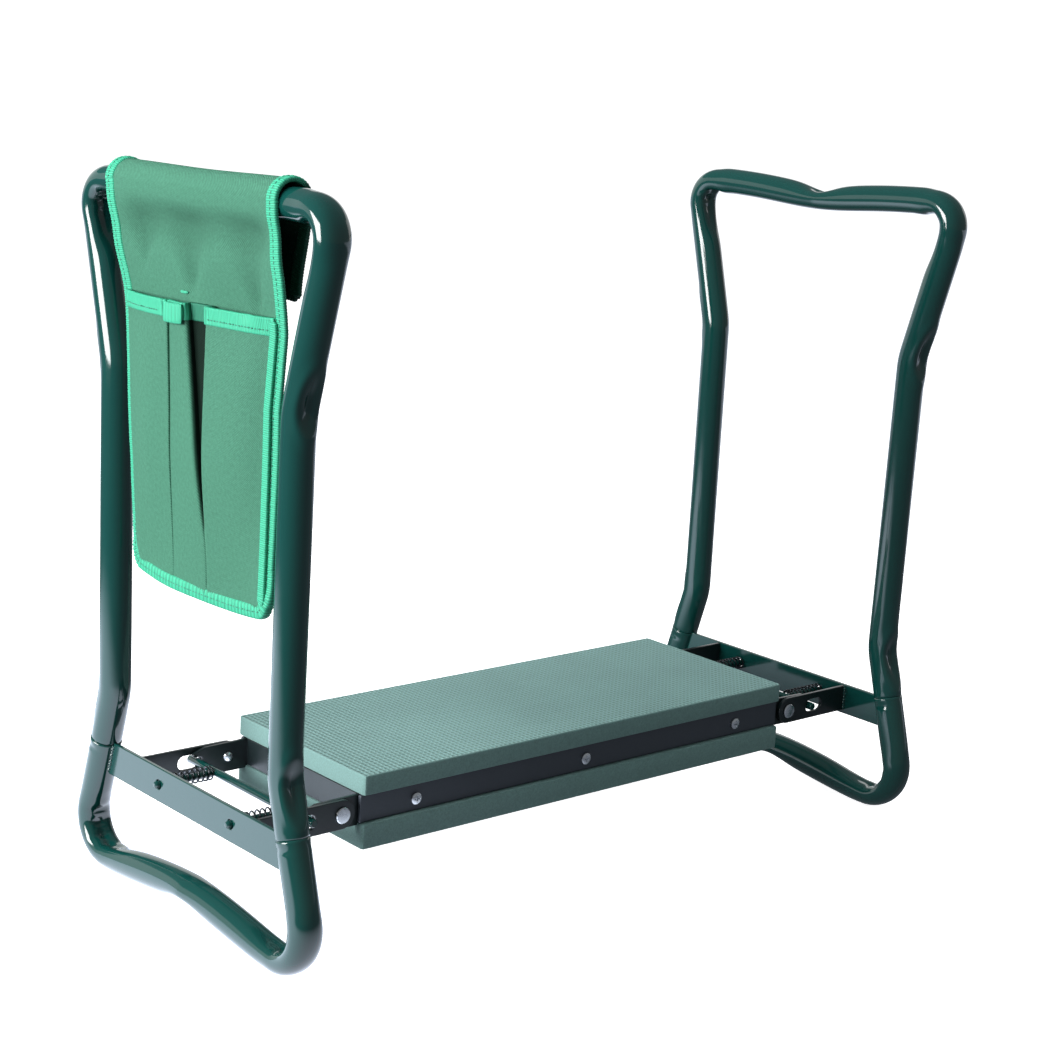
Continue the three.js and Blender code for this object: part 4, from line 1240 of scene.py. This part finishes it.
class OBJECT_OT_pouch(bpy.types.Operator):
    """Adds the tool pouch: the panel over the handle, the pocket, the bindings, the loop and the stitches"""

    bl_idname = "kneeler.pouch"
    bl_label = "Pouch"

    def execute(self, context):
        legs, pouch = context.scene.kneeler_legs, context.scene.kneeler_pouch
        across, down = np.meshgrid(np.linspace(-1, 1, 150), panel_rows(18, 26, 70, 24))
        back = panel_points(across, down, legs, pouch)
        # Painted shade on the panel: a little in the hollows below the bar, and deep on the rear flap behind
        # the bar.
        hollow = np.clip(-cloth_dents(back[..., 1], back[..., 2]) / 0.008, 0, 1) * (down > 2)
        behind = 0.9 * smooth_step((1.05 - down) / 0.5)
        panel = cloth_sheet("pouch_back_panel", back, 0.0013, np.maximum(0.22 * hollow, behind), "Twill")
        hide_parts("pouch_panel")
        z = np.linspace(0.2290, pouch.pocket_top, 110)
        front = pocket_points(z, legs, pouch)
        # Painted shade inside the open pleat of the pocket.
        pleat_shade = 0.98 * pocket_section(z, pouch)[2]
        pocket = cloth_sheet("pouch_front_pocket", front, 0.0011, pleat_shade, "Twill")
        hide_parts("pouch_pocket")
        trim = self.edge_tapes(legs, pouch) + [self.pocket_strap(pouch)]
        bands = self.mouth(legs, pouch) + self.loop_and_tack(legs, pouch)
        return {"FINISHED"}

    def edge_tapes(self, legs, pouch):
        """The tape round the panel's edge from one rear corner to the other, with painted shade where it runs
        behind the leg, the tape of the rear edge in a darkened copy of the binding as painted shade, and the
        threads along the first."""
        down = panel_rows(30, 60, 160, 60)
        turn = np.linspace(-1, 1, 120)[1:-1]
        across = np.concatenate([-1 + 0 * down, turn, 1 + 0 * down])
        down = np.concatenate([down, 3 + 0 * turn, down[::-1]])
        edge = panel_points(across, down, legs, pouch)
        raised = down - 0.012 * smooth_step((down - 2.85) / 0.05)
        inward = unit(panel_points(across * 0.96, raised, legs, pouch) - edge)
        far = distances(edge)
        even = np.linspace(0, far[-1], int(far[-1] / 0.0007))
        line = sample(even, far, edge)
        inward = unit(sample(even, far, inward))
        outward = unit(np.cross(unit(np.gradient(line, axis=0)), inward))
        outward = outward * (1.0 if outward[len(outward) // 2, 0] < 0 else -1.0)
        centre = line + inward * pouch.binding * 0.40
        low = smooth_step((0.250 - centre[:, 2]) / 0.014) * (centre[:, 0] < -legs.plane)
        strip = tape("pouch_binding", centre, inward, pouch.binding, 0.0036 + 0.0034 * low)
        # Painted shade on the binding where it runs behind the leg.
        behind = 0.85 * smooth_step((centre[:, 0] + legs.plane - 0.004) / 0.006)
        shadow(strip, np.concatenate([np.repeat(behind, TAPE_SIDES), behind[[0, -1]]]))
        across = np.linspace(-0.97, 0.97, 260)
        rear = panel_points(across, 0 * across, legs, pouch)
        up = np.tile(UP, (len(rear), 1))
        # The rear edge's tape takes the binding at a tenth of its brightness, as painted shade behind the
        # bar.
        hem = tape("pouch_rear_binding", rear + up * 0.0022, up, pouch.binding, 0.0034)
        seam = centre + outward * (0.0018 + 0.0017 * low)[:, None]
        threads = stitches("pouch_binding_stitches", seam[60:-60], outward[60:-60], 0.0)
        return [sewn(strip, "Binding"), sewn(hem, "BindingDark"), threads]

    def pocket_strap(self, pouch):
        """The inner tape, which holds the pocket's near side down."""
        z = np.linspace(0.232, pouch.pocket_top + 0.001, 260)
        y = pocket_near_edge(z, pocket_share(z, pouch), pouch) + 0.0012
        x = -pouch.hang - 0.0030 - cloth_dents(y, z) - LEAN_OUT * lean(z)
        line = np.stack([x, y, z + hem_rise(y, z)], 1)
        strap = tape("pocket_side_binding", line, np.tile([0.0, 1.0, 0.0], (len(z), 1)), 0.0066, 0.0028)
        return sewn(strap, "Binding")

    def mouth(self, legs, pouch):
        """The hem round the pocket's mouth and its two rows of threads."""
        z = np.linspace(pouch.pocket_top - 0.0100, pouch.pocket_top + 0.0008, 12)
        hem = pocket_points(z, legs, pouch)
        side, down = surface_lengths(hem)
        hem[..., 0] -= 0.0001 + 0.00022 * np.sin(side * 2 * math.pi / RIB_PITCH)
        band = mesh_piece("pocket_hem", hem.reshape(-1, 3), grid_quads(*hem.shape[:2]))
        flat_map(band, side, down)
        # Painted shade on the hem where it runs into the open pleat.
        shadow(band, 0.62 * pocket_section(z, pouch)[2])
        thicken(band, 0.0027)
        made = [sewn(band, "Binding")]
        line = pocket_points(np.array([pouch.pocket_top - 0.0068]), legs, pouch)[0]
        for number, part in enumerate((line[line[:, 1] > 0.0300], line[line[:, 1] < -0.0200])):
            out = np.tile([-1.0, 0.0, 0.0], (len(part), 1))
            made.append(stitches(f"pocket_hem_stitches_{number}", part, out, 0.0016))
        return made

    def loop_and_tack(self, legs, pouch):
        """The band across the open pleat's mouth, and the bar tack above it."""
        line = pocket_points(np.array([pouch.pocket_top - 0.0068]), legs, pouch)[0]
        face = line[(line[:, 1] > 0.0062) | (line[:, 1] < -0.0200), 0].min()
        t = np.linspace(0, 1, 60)
        x, y = face - 0.0014 - 0.0022 * np.sin(t * math.pi) ** 0.5, 0.0245 - 0.0215 * t
        over = np.stack([x, y, pouch.pocket_top - 0.0062 - MOUTH_SLOPE * y], 1)
        loop = tape("pleat_band", over, np.tile(UP, (len(t), 1)), 0.0128, 0.0020)
        y = np.linspace(0.0190, 0.0110, 12)
        x = -pouch.hang - 0.0012 - cloth_dents(y, TACK_HEIGHT) - LEAN_OUT * lean(TACK_HEIGHT)
        short = np.stack([x, y, np.full_like(y, TACK_HEIGHT)], 1)
        tack = tape("bar_tack", short, np.tile(UP, (len(y), 1)), 0.0018, 0.0010, rib=0.0)
        return [sewn(loop, "Binding"), sewn(tack, "Binding")]


# Stage


class OBJECT_OT_stage(bpy.types.Operator):
    """Adds the pale floor, the soft studio light and the camera"""

    bl_idname = "kneeler.stage"
    bl_label = "Stage"

    def execute(self, context):
        floor = self.board("floor", (0, 0, -0.0006), (60, 60), 0.86, 0.92)
        floor.visible_diffuse = floor.visible_glossy = False
        around = np.linspace(math.radians(-10), math.radians(170), 96)
        wall = np.stack([40 * np.cos(around), 40 * np.sin(around)], -1)
        wall = np.stack([np.column_stack([wall, np.full(96, h)]) for h in (-1.0, 17.0)])
        backdrop = mesh_piece("backdrop", wall.reshape(-1, 3), grid_quads(2, 96))
        backdrop.data.materials.append(self.paper("Backdrop", 0.5, 1.1).material)
        backdrop.visible_diffuse = backdrop.visible_shadow = False
        sheen = self.board("floor_sheen", (0, 0, -0.0004), (12, 12), 0.0, 1.0)
        sheen.visible_camera = sheen.visible_diffuse = sheen.visible_shadow = False
        self.pool(sheen.data.materials[0])
        self.sky(context)
        self.soft_light(context, "Left", (-2.2, 0.35, 0.78), (-0.1, 0.0, 0.25), (1.45, 1.12), 106)
        top = self.soft_light(context, "Above", (-0.3, 0.25, 2.3), (0.0, 0.0, 0.1), (1.6, 1.6), 38)
        top.visible_glossy = False
        self.camera(context)
        context.scene.view_settings.view_transform = "Standard"
        return {"FINISHED"}

    def paper(self, name, grey, glow):
        """Matt paper that also glows."""
        made = Finish(name, (grey, grey, grey), Roughness=0.95)
        made.rough(made.spread(made.noise(6), 0.9, 1.0))
        made.shader.inputs["Specular IOR Level"].default_value = 0.0
        made.shader.inputs["Emission Color"].default_value = (1, 1, 1, 1)
        made.shader.inputs["Emission Strength"].default_value = glow
        return made

    def board(self, name, centre, half, grey, glow):
        """A flat board of paper, lying level."""
        corners = np.array([(-1, -1, 0), (1, -1, 0), (1, 1, 0), (-1, 1, 0)]) * np.array([*half, 0])
        made = mesh_piece(name, corners + np.array(centre), np.array([[0, 1, 2, 3]]))
        made.data.materials.append(self.paper(name, grey, glow).material)
        return made

    def pool(self, material):
        """The light that the floor throws back into glossy paint: a bright pool at the left, which
        fades out round the object, and a paler field behind it at the right."""
        nodes, links = material.node_tree.nodes, material.node_tree.links
        place = nodes.new("ShaderNodeTexCoord")
        reach = nodes.new("ShaderNodeVectorMath")
        reach.operation = "DISTANCE"
        reach.inputs[1].default_value = (-0.50, 0.24, 0.0)
        pool = self.ramp(nodes, 0.30, 0.72, 2.75, 0.0)
        behind = nodes.new("ShaderNodeVectorMath")
        behind.operation = "DOT_PRODUCT"
        behind.inputs[1].default_value = (0.75, 0.66, 0.0)
        field = self.ramp(nodes, 0.65, 1.25, 0.20, 1.10)
        both = nodes.new("ShaderNodeMath")
        links.new(place.outputs["Object"], reach.inputs[0])
        links.new(reach.outputs["Value"], pool.inputs[0])
        links.new(place.outputs["Object"], behind.inputs[0])
        links.new(behind.outputs["Value"], field.inputs[0])
        links.new(pool.outputs[0], both.inputs[0])
        links.new(field.outputs[0], both.inputs[1])
        shader = nodes["Principled BSDF"]
        shader.inputs["Emission Color"].default_value = (0.86, 0.95, 1.12, 1)
        links.new(both.outputs[0], shader.inputs["Emission Strength"])

    def ramp(self, nodes, start, end, low, high):
        """Carries a value from low to high in an even S, between two limits."""
        made = nodes.new("ShaderNodeMapRange")
        made.interpolation_type = "SMOOTHSTEP"
        for number, value in ((1, start), (2, end), (3, low), (4, high)):
            made.inputs[number].default_value = value
        return made

    def sky(self, context):
        """A weak even light from all round."""
        world = bpy.data.worlds.new("Studio")
        world.use_nodes = True
        world.node_tree.nodes["Background"].inputs[0].default_value = (0.90, 0.96, 1, 1)
        world.node_tree.nodes["Background"].inputs[1].default_value = 0.26
        context.scene.world = world

    def soft_light(self, context, name, place, target, size, power):
        """A rectangular lamp at a place, turned to face its target."""
        lamp = bpy.data.lights.new(name, "AREA")
        lamp.shape = "RECTANGLE"
        lamp.size, lamp.size_y = size
        lamp.energy = power
        light = bpy.data.objects.new(name, lamp)
        light.location = place
        light.rotation_euler = (Vector(target) - Vector(place)).to_track_quat("-Z", "Y").to_euler()
        context.scene.collection.objects.link(light)
        return light

    def camera(self, context):
        """The camera, turned about the upright by yaw, tipped down by pitch, then rolled about its view."""
        yaw, pitch, roll = 0.72284, 0.22382, 0.05771
        ahead = Vector((math.sin(yaw) * math.cos(pitch), math.cos(yaw) * math.cos(pitch), -math.sin(pitch)))
        right = Vector((math.cos(yaw), -math.sin(yaw), 0))
        up = right.cross(ahead)
        across = right * math.cos(roll) + up * math.sin(roll)
        above = up * math.cos(roll) - right * math.sin(roll)
        view = bpy.data.cameras.new("Camera")
        view.sensor_width = 36
        view.lens = 73.663
        camera = bpy.data.objects.new("Camera", view)
        turned = Matrix((across, above, -ahead)).transposed().to_4x4()
        camera.matrix_world = Matrix.Translation((-1.01618, -1.14311, 0.58784)) @ turned
        context.scene.collection.objects.link(camera)
        context.scene.camera = camera


class VIEW3D_PT_kneeler(bpy.types.Panel):
    """Lists the pieces and their sizes"""

    bl_label = "Kneeler"
    bl_space_type = "VIEW_3D"
    bl_region_type = "UI"
    bl_category = "Kneeler"

    def draw(self, context):
        for step in STEPS:
            self.layout.operator(step.bl_idname)
        for name in GROUPS:
            group = getattr(context.scene, name)
            column = self.layout.column(align=True)
            for key in group.__annotations__:
                column.prop(group, key)


GROUPS = {
    "kneeler_legs": LegSizes,
    "kneeler_seat": SeatSizes,
    "kneeler_locks": LockSizes,
    "kneeler_pouch": PouchSizes,
    "kneeler_colours": Colours,
}
STEPS = (
    OBJECT_OT_leg_tubes,
    OBJECT_OT_crossbars,
    OBJECT_OT_end_brackets,
    OBJECT_OT_rivets,
    OBJECT_OT_locks,
    OBJECT_OT_pads,
    OBJECT_OT_rails,
    OBJECT_OT_pouch,
    OBJECT_OT_stage,
)


def register():
    for group in GROUPS.values():
        bpy.utils.register_class(group)
    for name, group in GROUPS.items():
        setattr(bpy.types.Scene, name, PointerProperty(type=group))
    for step in STEPS:
        bpy.utils.register_class(step)
    bpy.utils.register_class(VIEW3D_PT_kneeler)


def unregister():
    bpy.utils.unregister_class(VIEW3D_PT_kneeler)
    for step in reversed(STEPS):
        bpy.utils.unregister_class(step)
    for name, group in GROUPS.items():
        delattr(bpy.types.Scene, name)
        bpy.utils.unregister_class(group)


def main():
    register()
    bpy.ops.kneeler.leg_tubes()
    bpy.ops.kneeler.crossbars()
    bpy.ops.kneeler.end_brackets()
    bpy.ops.kneeler.rivets()
    bpy.ops.kneeler.locks()
    bpy.ops.kneeler.pads()
    bpy.ops.kneeler.rails()
    bpy.ops.kneeler.pouch()
    bpy.ops.kneeler.stage()


if __name__ == "__main__":
    main()
